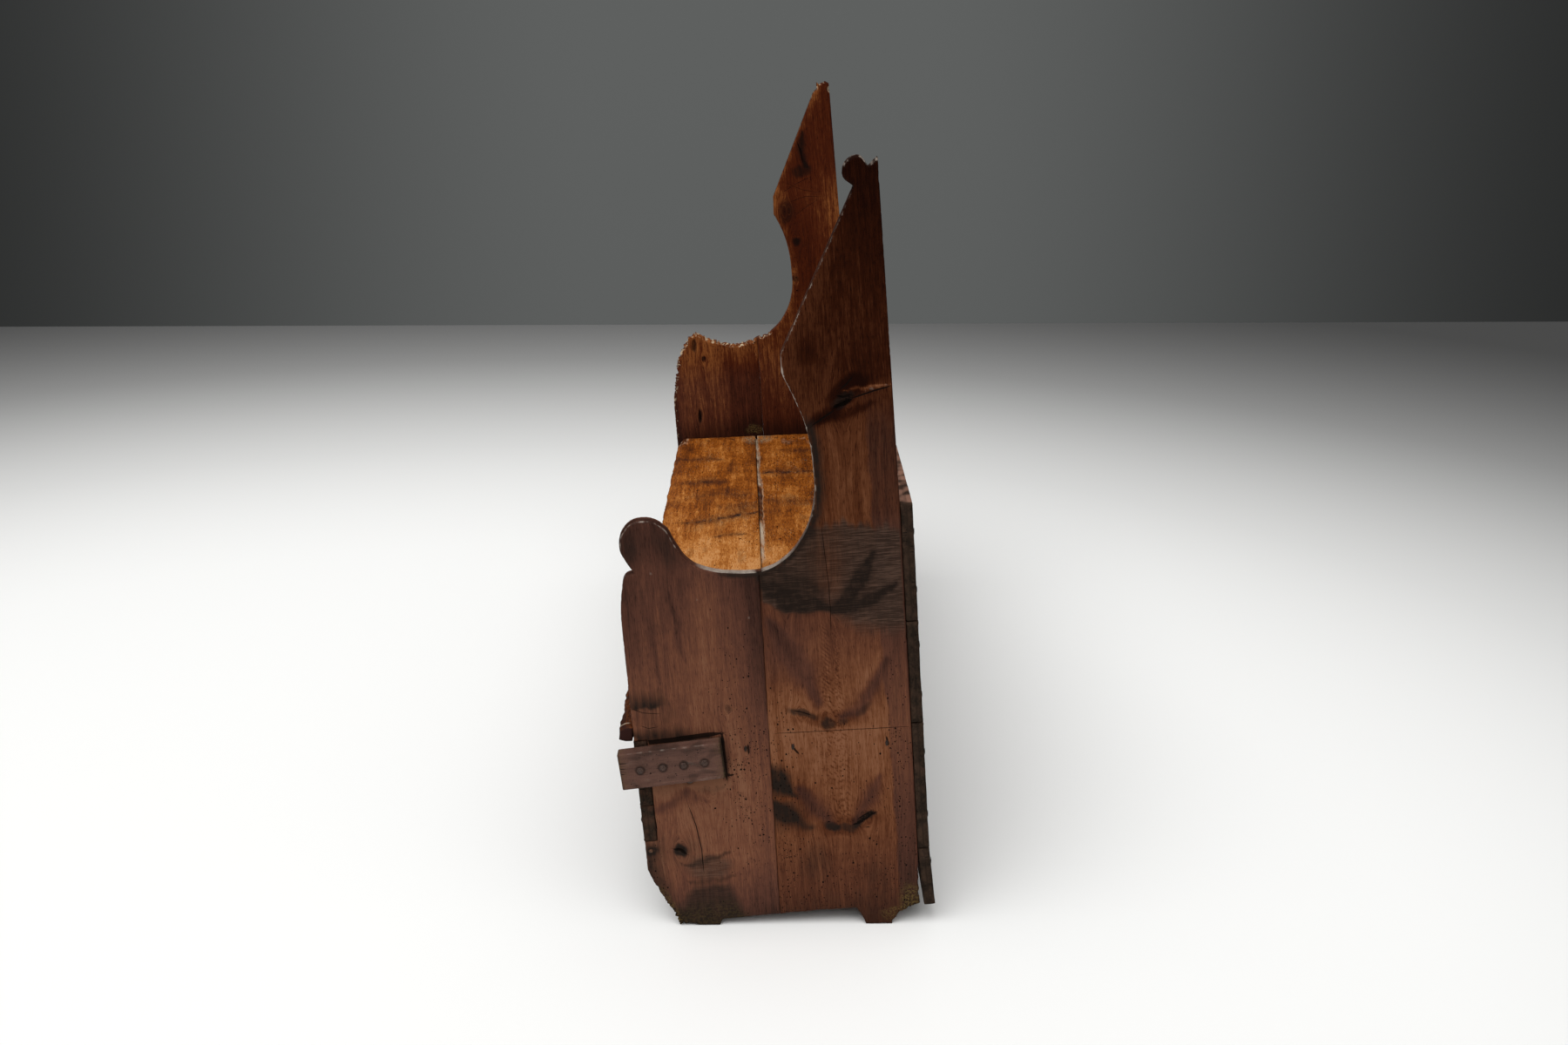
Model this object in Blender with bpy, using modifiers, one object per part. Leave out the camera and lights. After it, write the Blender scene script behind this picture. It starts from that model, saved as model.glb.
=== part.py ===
"""Old plank-built settle: a long wooden bench with tall shaped ends, a nailed seat and a boarded back.

Each end is two upright planks edge to edge.  The front plank carries a scrolled arm, the back plank
sweeps up through a wing to a small scrolled crest.  A front rail of two boards is let into notches in
the front planks, bearers inside the ends carry the seat, and the back boards are nailed on from behind.
Rotten front feet have let the whole bench lean forward, so the parts are drawn upright and leaned over.
Units are metres.  X runs along the bench, the sitter faces -Y, and the floor is Z = 0.
"""

import math

import bmesh
import bpy
from mathutils import Matrix, Vector

# Whole bench
BENCH_LENGTH = 1.980
LEAN = math.radians(4.0)
GAP = 0.0003
EDGE_ROUND = 0.002

# Ends: depth from front edge to back edge, and heights above the floor before leaning
END_DEPTH = 0.514
END_THICK = 0.028
JOINT_DEPTH = 0.255
JOINT_TAPER = 0.011
ARM_TOP = 0.838
ARM_DIP = 0.722
WING_LOW = 1.086
WING_TOP = 1.120
CREST_TOP = 1.447
WING_REACH = 0.193
SWEEP_WAIST = 0.149
BACK_EDGE_STRAIGHT = 0.850
ARCH_RISE = 0.025
FOOT_STOCK = 0.030
DECAY_RISE = 0.140

# Seat
SEAT_HEIGHT = 0.440
SEAT_PITCH = math.radians(1.8)
SEAT_THICK = 0.030
NOSE_OVERHANG = 0.026
NOSE_WEAR = 0.030
SEAT_SPLIT_RIGHT = 0.251
SEAT_SPLIT_LEFT = 0.227
SEAT_LAP = 0.012
BROKEN_CORNER = 0.055

# Front rail
RAIL_THICK = 0.026
RAIL_PROUD = 0.002
RAIL_BOTTOM = 0.200
RAIL_SPLIT = 0.275

# Seat bearers
BEARER_THICK = 0.038
BEARER_HEIGHT = 0.110
BEARER_SETBACK = 0.005

# Back boards, from the top down
BACK_THICK = 0.023
BACK_TOP = 0.833
BACK_HEIGHTS = (0.223, 0.200, 0.260, 0.122)
BACK_SHRINKAGE = 0.002
LOOSE_BOARD_FLARE = math.radians(3.0)

# Repair cleat on the right end
CLEAT_LENGTH = 0.192
CLEAT_HEIGHT = 0.073
CLEAT_THICK = 0.027
CLEAT_DEPTH = 0.069
CLEAT_DROP = 0.072
CLEAT_TILT = math.radians(4.9)

# Forged nails, wooden pegs and dowels
NAIL_HEAD_RADIUS = 0.007
NAIL_HEAD_RISE = 0.003
NAIL_SHANK = 0.0022
NAIL_TIP = 0.0012
NAIL_SIDES = 6
NAIL_BITE = 0.018
RAIL_END_BITE = 0.012
RAIL_NAIL_BITE = 0.020
SEAT_NAIL_BITE = 0.035
SEAT_NAIL_PUNCH = 0.004
EDGE_BITE = 0.030
BEARER_NAIL_INSET = 0.024
JOINT_NAIL_INSET = 0.044
BACK_NAIL_INSET = 0.045
SEAT_NAIL_INSET = 0.062
LOOSE_NAIL_INSET = 0.035
CLEAT_NAILS = 3
CLEAT_NAIL_INSET = 0.034
CLEAT_NAIL_PITCH = 0.039
FOOT_NAIL_LENGTH = 0.022
FOOT_NAIL_INSET = 0.010
PEG_RADIUS = 0.008
PEG_DEPTH = 0.100
PEG_INSET = 0.027
DOWEL_RADIUS = 0.006
DOWEL_LENGTH = 0.070
DOWEL_HEIGHTS = (0.170, 0.580)
ROUND_SIDES = 12
OUTLINE_STEPS = 5

# Places that follow from the sizes above
FRONT = -END_DEPTH / 2
BACK = END_DEPTH / 2
INNER_HALF = BENCH_LENGTH / 2 - END_THICK
END_MIDDLE = BENCH_LENGTH / 2 - END_THICK / 2
NOTCH_DEPTH = RAIL_THICK - RAIL_PROUD
RAIL_TOP = SEAT_HEIGHT - SEAT_THICK - NOTCH_DEPTH * math.sin(SEAT_PITCH) - GAP


def joint_depth(height):
    """Depth of the joint between an end's two planks, behind the front edge, at a height."""
    return JOINT_DEPTH - JOINT_TAPER * (1 - height / ARM_DIP)


for old in list(bpy.data.objects):
    bpy.data.objects.remove(old, do_unlink=True)

parts = bpy.data.collections.new("plank_settle")
tools = bpy.data.collections.new("cutting_tools")
bpy.context.scene.collection.children.link(parts)
bpy.context.scene.collection.children.link(tools)


def add_frame(name, parent=None, location=(0, 0, 0), tilt=0.0):
    """An empty that a group of pieces is set out from, tilted about the bench's length."""
    frame = bpy.data.objects.new(name, None)
    frame.location = location
    frame.rotation_euler = (tilt, 0, 0)
    frame.parent = parent
    parts.objects.link(frame)
    return frame


# The whole bench leans in one frame; the seat and the cleat are set out in frames of their own
bench = add_frame("leaning_frame", tilt=LEAN)
seat = add_frame("seat_frame", bench, (0, FRONT, SEAT_HEIGHT), -SEAT_PITCH)
cleat_place = (BENCH_LENGTH / 2 + GAP, CLEAT_DEPTH, -CLEAT_DROP)
cleat_frame = add_frame("cleat_frame", seat, cleat_place, CLEAT_TILT)


def finish(name, colour, roughness, metallic=0.0):
    """A plain Principled material with the colour of one kind of piece."""
    material = bpy.data.materials.new(name)
    material.use_nodes = True
    shader = material.node_tree.nodes["Principled BSDF"]
    shader.inputs["Base Color"].default_value = (*colour, 1.0)
    shader.inputs["Roughness"].default_value = roughness
    shader.inputs["Metallic"].default_value = metallic
    return material


END_WOOD = finish("dark_end_wood", (0.130, 0.066, 0.036), 0.60)
SEAT_WOOD = finish("polished_seat_wood", (0.270, 0.120, 0.052), 0.38)
RAIL_WOOD = finish("rail_wood", (0.110, 0.060, 0.036), 0.65)
BACK_WOOD = finish("back_board_wood", (0.085, 0.050, 0.032), 0.70)
BEARER_WOOD = finish("bearer_wood", (0.160, 0.090, 0.050), 0.75)
CLEAT_WOOD = finish("cleat_wood", (0.120, 0.075, 0.058), 0.70)
PEG_WOOD = finish("peg_wood", (0.180, 0.110, 0.065), 0.70)
IRON = finish("forged_iron", (0.060, 0.052, 0.048), 0.60, 0.8)


def add_piece(name, mesh, material, parent, location, rotation=(0, 0, 0)):
    """One sub-part of the bench, set out in its parent frame."""
    piece = bpy.data.objects.new(name, mesh)
    piece.parent = parent
    piece.location = location
    piece.rotation_euler = rotation
    if not mesh.materials:
        mesh.materials.append(material)
    parts.objects.link(piece)
    return piece


def cut_from(boards, name, mesh, parent, location, rotation=(0, 0, 0)):
    """Takes the shape of a mesh out of each board, with a wire cutter that isn't part of the bench."""
    cutter = bpy.data.objects.new(name, mesh)
    cutter.parent = parent
    cutter.location = location
    cutter.rotation_euler = rotation
    cutter.hide_render = True
    cutter.display_type = "WIRE"
    tools.objects.link(cutter)
    for board in boards:
        cut = board.modifiers.new(name, "BOOLEAN")
        cut.operation = "DIFFERENCE"
        cut.solver = "EXACT"
        cut.object = cutter


def block_mesh(name, size):
    """A rectangular block centred on its own origin."""
    mesh = bpy.data.meshes.new(name)
    form = bmesh.new()
    bmesh.ops.create_cube(form, size=1.0)
    bmesh.ops.scale(form, vec=size, verts=form.verts)
    form.to_mesh(mesh)
    form.free()
    return mesh


def add_board(name, size, material, parent, location, rotation=(0, 0, 0)):
    """A sawn board with eased edges."""
    board = add_piece(name, block_mesh(name, size), material, parent, location, rotation)
    easing = board.modifiers.new("eased_edges", "BEVEL")
    easing.width = EDGE_ROUND
    easing.segments = 1
    return board


def outline_mesh(name, outline, thickness):
    """A board sawn to an outline of (x, y, smooth) points, with eased edges all round."""
    curve = bpy.data.curves.new(name, "CURVE")
    curve.dimensions = "2D"
    curve.fill_mode = "BOTH"
    curve.resolution_u = OUTLINE_STEPS
    curve.extrude = thickness / 2 - EDGE_ROUND
    curve.bevel_depth = EDGE_ROUND
    curve.bevel_resolution = 0
    curve.offset = -EDGE_ROUND
    spline = curve.splines.new("BEZIER")
    spline.bezier_points.add(len(outline) - 1)
    spline.use_cyclic_u = True
    for knot, (x, y, smooth) in zip(spline.bezier_points, outline):
        knot.co = (x, y, 0)
        knot.handle_left_type = "AUTO" if smooth else "VECTOR"
        knot.handle_right_type = "AUTO" if smooth else "VECTOR"
    drawn = bpy.data.objects.new(name, curve)
    tools.objects.link(drawn)
    bpy.context.view_layer.update()
    drawn_now = drawn.evaluated_get(bpy.context.evaluated_depsgraph_get())
    mesh = bpy.data.meshes.new_from_object(drawn_now)
    bpy.data.objects.remove(drawn, do_unlink=True)
    form = bmesh.new()
    form.from_mesh(mesh)
    bmesh.ops.remove_doubles(form, verts=form.verts, dist=0.00001)
    bmesh.ops.recalc_face_normals(form, faces=form.faces)
    form.to_mesh(mesh)
    form.free()
    return mesh


# End planks.  An outline point is (Y, Z, smooth); a corner is not smooth.
UPRIGHT = (math.pi / 2, 0, math.pi / 2)


def scrolled_arm():
    """Front edge of the right arm: a lip and notch, the round scroll, then the dip to the joint."""
    return [
        (FRONT, ARM_TOP - 0.178, False),
        (FRONT + 0.007, ARM_TOP - 0.129, True),
        (FRONT + 0.015, ARM_TOP - 0.105, True),
        (FRONT + 0.032, ARM_TOP - 0.099, False),
        (FRONT + 0.019, ARM_TOP - 0.076, True),
        (FRONT + 0.010, ARM_TOP - 0.050, True),
        (FRONT + 0.022, ARM_TOP - 0.014, True),
        (FRONT + 0.053, ARM_TOP, True),
        (FRONT + 0.092, ARM_TOP - 0.016, True),
        (FRONT + 0.110, ARM_TOP - 0.050, True),
        (FRONT + 0.128, ARM_DIP + 0.034, True),
        (FRONT + 0.160, ARM_DIP + 0.013, True),
        (FRONT + 0.212, ARM_DIP + 0.002, True),
    ]


def gnawed_arm():
    """Front edge of the left arm, whose scroll has been gnawed and broken away to a ragged point."""
    return [
        (FRONT, ARM_DIP - 0.160, False),
        (FRONT + 0.010, ARM_DIP - 0.100, True),
        (FRONT + 0.021, ARM_DIP - 0.048, True),
        (FRONT + 0.046, ARM_DIP, True),
        (FRONT + 0.060, ARM_DIP + 0.018, True),
        (FRONT + 0.080, ARM_DIP + 0.028, False),
        (FRONT + 0.130, ARM_DIP + 0.003, True),
        (FRONT + 0.190, ARM_DIP - 0.014, True),
        (FRONT + 0.222, ARM_DIP - 0.008, True),
    ]


def front_plank_outline(arm):
    """Front plank: decayed foot, notch for the rail, the arm given, and the straight joint edge."""
    joint_foot = FRONT + joint_depth(ARCH_RISE) - GAP / 2
    joint_top = FRONT + joint_depth(ARM_DIP) - GAP / 2
    foot_and_notch = [
        (joint_foot, ARCH_RISE, False),
        (FRONT + 0.134, ARCH_RISE - 0.004, False),
        (FRONT + 0.106, -FOOT_STOCK, False),
        (FRONT + 0.052, -FOOT_STOCK, False),
        (FRONT + 0.050, DECAY_RISE - 0.124, False),
        (FRONT + 0.036, DECAY_RISE - 0.091, True),
        (FRONT + 0.022, DECAY_RISE - 0.060, True),
        (FRONT + 0.008, DECAY_RISE - 0.025, True),
        (FRONT, DECAY_RISE, False),
        (FRONT, RAIL_BOTTOM - GAP, False),
        (FRONT + NOTCH_DEPTH + GAP, RAIL_BOTTOM - GAP, False),
        (FRONT + NOTCH_DEPTH + GAP, RAIL_TOP + GAP, False),
        (FRONT, RAIL_TOP + GAP, False),
    ]
    return foot_and_notch + arm + [(joint_top, ARM_DIP, False)]


def scrolled_crest():
    """Top of the right back plank: the wing, the long slope, then a round scroll, notch and tip."""
    return [
        (BACK - WING_REACH, WING_LOW, False),
        (BACK - WING_REACH + 0.001, WING_TOP, False),
        (BACK - 0.050, CREST_TOP - 0.050, False),
        (BACK - 0.068, CREST_TOP - 0.028, True),
        (BACK - 0.041, CREST_TOP, True),
        (BACK - 0.023, CREST_TOP - 0.019, False),
        (BACK - 0.007, CREST_TOP - 0.005, False),
    ]


def broken_crest():
    """Top of the left back plank, where the scroll is lost and the grain has split off in steps."""
    return [
        (BACK - WING_REACH + 0.005, WING_LOW - 0.018, False),
        (BACK - WING_REACH + 0.007, WING_TOP - 0.004, False),
        (BACK - 0.056, CREST_TOP - 0.055, False),
        (BACK - 0.047, CREST_TOP - 0.048, False),
        (BACK - 0.046, CREST_TOP - 0.030, False),
        (BACK - 0.040, CREST_TOP - 0.035, False),
        (BACK - 0.022, CREST_TOP - 0.028, False),
        (BACK - 0.012, CREST_TOP - 0.034, False),
    ]


def back_plank_outline(crest):
    """Back plank: joint edge, the sweep up to the wing, the crest given, back edge and rear foot."""
    joint_foot = FRONT + joint_depth(ARCH_RISE) + GAP / 2
    joint_top = FRONT + joint_depth(ARM_DIP) + GAP / 2
    waist = BACK - SWEEP_WAIST
    sweep = [
        (joint_foot, ARCH_RISE, False),
        (joint_top, ARM_DIP, False),
        (waist - 0.071, ARM_DIP + 0.015, True),
        (waist - 0.028, ARM_DIP + 0.059, True),
        (waist - 0.003, ARM_DIP + 0.123, True),
        (waist, ARM_DIP + 0.183, True),
        (waist - 0.006, WING_LOW - 0.110, True),
        (waist - 0.024, WING_LOW - 0.049, True),
    ]
    edge_and_foot = [
        (BACK, BACK_EDGE_STRAIGHT, False),
        (BACK, ARCH_RISE + 0.002, False),
        (BACK - 0.025, ARCH_RISE - 0.010, True),
        (BACK - 0.049, ARCH_RISE - 0.028, True),
        (BACK - 0.063, -FOOT_STOCK, False),
        (BACK - 0.099, -FOOT_STOCK, False),
        (BACK - 0.112, ARCH_RISE - 0.019, False),
        (BACK - 0.123, ARCH_RISE + 0.001, False),
    ]
    return sweep + crest + edge_and_foot


def add_end_plank(name, outline, side):
    """One upright plank of an end; side is +1 for the right end and -1 for the left."""
    mesh = outline_mesh(name, outline, END_THICK)
    return add_piece(name, mesh, END_WOOD, bench, (side * END_MIDDLE, 0, 0), UPRIGHT)


front_planks = {
    1: add_end_plank("right_end_front_plank", front_plank_outline(scrolled_arm()), 1),
    -1: add_end_plank("left_end_front_plank", front_plank_outline(gnawed_arm()), -1),
}
back_planks = {
    1: add_end_plank("right_end_back_plank", back_plank_outline(scrolled_crest()), 1),
    -1: add_end_plank("left_end_back_plank", back_plank_outline(broken_crest()), -1),
}
SIDE_NAMES = {1: "right", -1: "left"}

# The floor trims the feet flat once the ends have leaned over
FLOOR_SIZE = (BENCH_LENGTH * 1.5, END_DEPTH * 3, FOOT_STOCK * 4)
cut_from([*front_planks.values(), *back_planks.values()], "floor_trim",
         block_mesh("floor_trim", FLOOR_SIZE), None, (0, 0, -FLOOR_SIZE[2] / 2))

# Front rail: two boards, one above the other, let into the notches and flush with the ends
rail_middle = FRONT - RAIL_PROUD + RAIL_THICK / 2
upper_height = RAIL_TOP - RAIL_SPLIT - GAP
lower_height = RAIL_SPLIT - RAIL_BOTTOM - GAP
rail_upper = add_board("front_rail_upper", (BENCH_LENGTH, RAIL_THICK, upper_height), RAIL_WOOD, bench,
                       (0, rail_middle, RAIL_TOP - upper_height / 2))
rail_lower = add_board("front_rail_lower", (BENCH_LENGTH, RAIL_THICK, lower_height), RAIL_WOOD, bench,
                       (0, rail_middle, RAIL_BOTTOM + lower_height / 2))

# Seat bearers: one inside each end, tying its two planks together under the seat
bearer_front = NOTCH_DEPTH + BEARER_SETBACK
bearer_length = END_DEPTH - GAP - bearer_front
bearer_top = -SEAT_THICK - GAP
bearer_x = INNER_HALF - GAP - BEARER_THICK / 2
bearers = {}
for side, word in SIDE_NAMES.items():
    bearers[side] = add_board(
        f"{word}_seat_bearer", (BEARER_THICK, bearer_length, BEARER_HEIGHT), BEARER_WOOD, seat,
        (side * bearer_x, bearer_front + bearer_length / 2, bearer_top - BEARER_HEIGHT / 2))

# Seat: a front board with a horn round the right end's front edge, lapped over the back board
seat_half = INNER_HALF - GAP
split_middle = (SEAT_SPLIT_RIGHT + SEAT_SPLIT_LEFT) / 2
split_turn = math.atan2(SEAT_SPLIT_RIGHT - SEAT_SPLIT_LEFT, 2 * seat_half)
front_board_outline = [
    (seat_half, SEAT_SPLIT_RIGHT, False),
    (-seat_half, SEAT_SPLIT_LEFT, False),
    (-seat_half, NOSE_WEAR - NOSE_OVERHANG + BROKEN_CORNER * 0.3, False),
    (-seat_half + BROKEN_CORNER, NOSE_WEAR - NOSE_OVERHANG, False),
    (BENCH_LENGTH / 2, -NOSE_OVERHANG, False),
    (BENCH_LENGTH / 2, -GAP, False),
    (seat_half, -GAP, False),
]
back_board_outline = [
    (seat_half, SEAT_SPLIT_RIGHT - SEAT_LAP + GAP, False),
    (seat_half, END_DEPTH - GAP, False),
    (-seat_half, END_DEPTH - GAP, False),
    (-seat_half, SEAT_SPLIT_LEFT - SEAT_LAP + GAP, False),
]
seat_front = add_piece("seat_front_board", outline_mesh("seat_front_board", front_board_outline, SEAT_THICK),
                       SEAT_WOOD, seat, (0, 0, -SEAT_THICK / 2))
seat_back = add_piece("seat_back_board", outline_mesh("seat_back_board", back_board_outline, SEAT_THICK),
                      SEAT_WOOD, seat, (0, 0, -SEAT_THICK / 2))
lap_cutter = block_mesh("seat_lap", (BENCH_LENGTH * 1.1, SEAT_LAP * 2, SEAT_THICK))
cut_from([seat_front], "front_board_lap", lap_cutter, seat,
         (0, split_middle, -SEAT_THICK), (0, 0, split_turn))
cut_from([seat_back], "back_board_lap", lap_cutter, seat,
         (0, split_middle - SEAT_LAP + GAP, -GAP), (0, 0, split_turn))

# Back boards: four, nailed to the back edges of the ends; the lowest has sprung loose at its foot
back_boards = []
board_top = BACK_TOP
for index, height in enumerate(BACK_HEIGHTS):
    sprung = index == len(BACK_HEIGHTS) - 1
    place = add_frame(f"back_board_frame_{index + 1}", bench, (0, BACK + GAP, board_top),
                      LOOSE_BOARD_FLARE if sprung else 0.0)
    board = add_board(f"back_board_{index + 1}", (BENCH_LENGTH, BACK_THICK, height), BACK_WOOD, place,
                      (0, BACK_THICK / 2, -height / 2))
    back_boards.append((board, place, height))
    board_top -= height + BACK_SHRINKAGE

# Repair cleat, nailed across the right end just under the seat
cleat = add_board("end_cleat", (CLEAT_THICK, CLEAT_LENGTH, CLEAT_HEIGHT), CLEAT_WOOD, cleat_frame,
                  (CLEAT_THICK / 2, 0, 0))


def turned_nail(length):
    """A forged nail standing on its point along -Z, with a low faceted head, turned from its profile."""
    profile = bpy.data.meshes.new("nail_profile")
    form = bmesh.new()
    half_section = [
        (0, NAIL_HEAD_RISE),
        (NAIL_HEAD_RADIUS * 0.8, NAIL_HEAD_RISE * 0.5),
        (NAIL_HEAD_RADIUS, GAP),
        (NAIL_SHANK, GAP),
        (NAIL_TIP, -length),
        (0, -length),
    ]
    points = [form.verts.new((radius, 0, height)) for radius, height in half_section]
    for upper, lower in zip(points, points[1:]):
        form.edges.new((upper, lower))
    form.to_mesh(profile)
    form.free()
    turned = bpy.data.objects.new("turned_nail", profile)
    tools.objects.link(turned)
    turning = turned.modifiers.new("turning", "SCREW")
    turning.steps = NAIL_SIDES
    turning.render_steps = NAIL_SIDES
    turning.use_merge_vertices = True
    turning.merge_threshold = 0.00001
    bpy.context.view_layer.update()
    turned_now = turned.evaluated_get(bpy.context.evaluated_depsgraph_get())
    mesh = bpy.data.meshes.new_from_object(turned_now)
    bpy.data.objects.remove(turned, do_unlink=True)
    return mesh


def round_rod(name, top, foot, top_radius, foot_radius, sides):
    """A round or tapered rod along Z, from its foot height up to its top height."""
    mesh = bpy.data.meshes.new(name)
    form = bmesh.new()
    bmesh.ops.create_cone(form, cap_ends=True, segments=sides, radius1=foot_radius, radius2=top_radius,
                          depth=top - foot)
    bmesh.ops.translate(form, vec=(0, 0, (top + foot) / 2), verts=form.verts)
    bmesh.ops.rotate(form, matrix=Matrix.Rotation(math.pi / 2, 3, "Z"), verts=form.verts)
    form.to_mesh(mesh)
    form.free()
    return mesh


def facing(direction):
    """Rotation that drives a nail, whose point is along -Z, in a direction."""
    return Vector(direction).to_track_quat("-Z", "Y").to_euler()


nail_meshes = {}


def drive_nail(name, length, boards, parent, location, direction, punch=0.0):
    """A nail in a hole through the boards, its head on the first board's face or punched in below it."""
    if length not in nail_meshes:
        nail_meshes[length] = turned_nail(length)
    turn = facing(direction)
    seat_of_head = Vector(location) + Vector(direction) * punch
    add_piece(name, nail_meshes[length], IRON, parent, seat_of_head, turn)
    slack = 1.2 * GAP
    hole = round_rod(name + "_hole", NAIL_HEAD_RISE, -length - GAP, NAIL_SHANK + slack, NAIL_TIP + slack,
                     NAIL_SIDES)
    cut_from(boards, name + "_hole", hole, parent, seat_of_head, turn)
    if punch:
        head_radius = NAIL_HEAD_RADIUS + slack
        recess = round_rod(name + "_recess", 2 * punch, 0, head_radius, head_radius, NAIL_SIDES)
        cut_from(boards[:1], name + "_recess", recess, parent, seat_of_head, turn)


def set_rod(name, radius, length, boards, parent, location, axis):
    """A peg or dowel centred at the location, in a hole of its own size through the boards."""
    turn = facing(axis)
    mesh = round_rod(name, length / 2, -length / 2, radius, radius, ROUND_SIDES)
    mesh.shade_smooth()
    mesh.set_sharp_from_angle(angle=math.radians(40))
    add_piece(name, mesh, PEG_WOOD, parent, location, turn)
    reach = length / 2 + GAP
    hole = round_rod(name + "_hole", reach, -reach, radius + GAP, radius + GAP, ROUND_SIDES)
    cut_from(boards, name + "_hole", hole, parent, location, turn)


# Dowels hold each end's two planks edge to edge
for side, word in SIDE_NAMES.items():
    for index, height in enumerate(DOWEL_HEIGHTS):
        set_rod(f"{word}_edge_dowel_{index + 1}", DOWEL_RADIUS, DOWEL_LENGTH,
                [front_planks[side], back_planks[side]], bench,
                (side * END_MIDDLE, FRONT + joint_depth(height), height), (0, 1, 0))

# A peg and a row of nails, driven from outside, hold each bearer to its end
peg_length = END_THICK + GAP + BEARER_THICK
bearer_nail = END_THICK + GAP + NAIL_BITE
nail_drop = bearer_top - BEARER_NAIL_INSET
joint_here = joint_depth(SEAT_HEIGHT)
for side, word in SIDE_NAMES.items():
    set_rod(f"{word}_bearer_peg", PEG_RADIUS, peg_length, [front_planks[side], bearers[side]], seat,
            (side * (BENCH_LENGTH / 2 - peg_length / 2), PEG_DEPTH, bearer_top - BEARER_HEIGHT + PEG_INSET),
            (side, 0, 0))
    rows = [
        (front_planks[side], joint_here - JOINT_NAIL_INSET),
        (back_planks[side], joint_here + JOINT_NAIL_INSET),
        (back_planks[side], END_DEPTH - BACK_NAIL_INSET),
    ]
    if side < 0:
        rows.append((front_planks[side], PEG_DEPTH))
    for index, (plank, depth) in enumerate(rows):
        drive_nail(f"{word}_bearer_nail_{index + 1}", bearer_nail, [plank, bearers[side]], seat,
                   (side * BENCH_LENGTH / 2, depth, nail_drop), (-side, 0, 0))

# Cleat nails: the first goes into the rail's end, the rest through the plank into the bearer
rail_nail_y = RAIL_THICK / 2 - RAIL_PROUD - CLEAT_DEPTH
drive_nail("cleat_nail_1", CLEAT_THICK + GAP + RAIL_END_BITE, [cleat, rail_upper], cleat_frame,
           (CLEAT_THICK, rail_nail_y, 0), (-1, 0, 0))
for index in range(CLEAT_NAILS):
    drive_nail(f"cleat_nail_{index + 2}", CLEAT_THICK + GAP + bearer_nail,
               [cleat, front_planks[1], bearers[1]], cleat_frame,
               (CLEAT_THICK, CLEAT_LENGTH / 2 - CLEAT_NAIL_INSET - index * CLEAT_NAIL_PITCH, 0), (-1, 0, 0))

# One nail through the front foot under the notch, where the plank has begun to split
drive_nail("front_foot_nail", FOOT_NAIL_LENGTH, [front_planks[1]], bench,
           (BENCH_LENGTH / 2, FRONT + FOOT_NAIL_INSET, RAIL_BOTTOM - 2 * FOOT_NAIL_INSET), (-1, 0, 0))

# Rail nails, driven from the front into the notches
rail_boards = {
    "upper": (rail_upper, (RAIL_SPLIT + RAIL_TOP) / 2),
    "lower": (rail_lower, (RAIL_BOTTOM + RAIL_SPLIT) / 2),
}
rail_nail_x = BENCH_LENGTH / 2 - END_THICK * 0.7
for side, word in SIDE_NAMES.items():
    for level, (rail, height) in rail_boards.items():
        drive_nail(f"{word}_rail_nail_{level}", RAIL_THICK + RAIL_NAIL_BITE, [rail, front_planks[side]], bench,
                   (side * rail_nail_x, FRONT - RAIL_PROUD, height), (0, 1, 0))

# Seat nails, punched in below the face and down into the bearers, two to each end of each board
seat_nail_x = INNER_HALF - GAP - BEARER_THICK * 0.72
for side, word in SIDE_NAMES.items():
    split = SEAT_SPLIT_RIGHT if side > 0 else SEAT_SPLIT_LEFT
    rows = [
        (seat_front, bearer_front + SEAT_NAIL_INSET),
        (seat_front, split - SEAT_NAIL_INSET),
        (seat_back, split + SEAT_NAIL_INSET),
        (seat_back, END_DEPTH - SEAT_NAIL_INSET),
    ]
    for index, (board, depth) in enumerate(rows):
        drive_nail(f"{word}_seat_nail_{index + 1}", SEAT_THICK + GAP + SEAT_NAIL_BITE,
                   [board, bearers[side]], seat, (side * seat_nail_x, depth, 0), (0, 0, -1), SEAT_NAIL_PUNCH)

# Back-board nails, driven from behind into the back edges; the loose board keeps one at each end
for number, (board, place, height) in enumerate(back_boards, 1):
    rows = (height - LOOSE_NAIL_INSET,) if number == len(back_boards) else (height * 0.75, height * 0.25)
    for side, word in SIDE_NAMES.items():
        for index, rise in enumerate(rows):
            drive_nail(f"{word}_back_nail_{number}_{index + 1}", BACK_THICK + GAP + EDGE_BITE,
                       [board, back_planks[side]], place,
                       (side * END_MIDDLE, BACK_THICK, rise - height), (0, -1, 0))

# Centre the bench on the origin, between the cleat's upper front corner and the loose board's foot
bpy.context.view_layer.update()
front_reach = cleat_frame.matrix_world @ Vector((0, -CLEAT_LENGTH / 2, CLEAT_HEIGHT / 2))
loose_board, loose_place, loose_height = back_boards[-1]
back_reach = loose_place.matrix_world @ Vector((0, BACK_THICK, -loose_height))
bench.location = (-(CLEAT_THICK + GAP) / 2, -(front_reach.y + back_reach.y) / 2, 0)
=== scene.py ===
"""Looks of the old plank settle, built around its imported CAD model."""

import math

import bmesh
import bpy
import numpy as np
from mathutils import Matrix, Vector, noise


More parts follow.
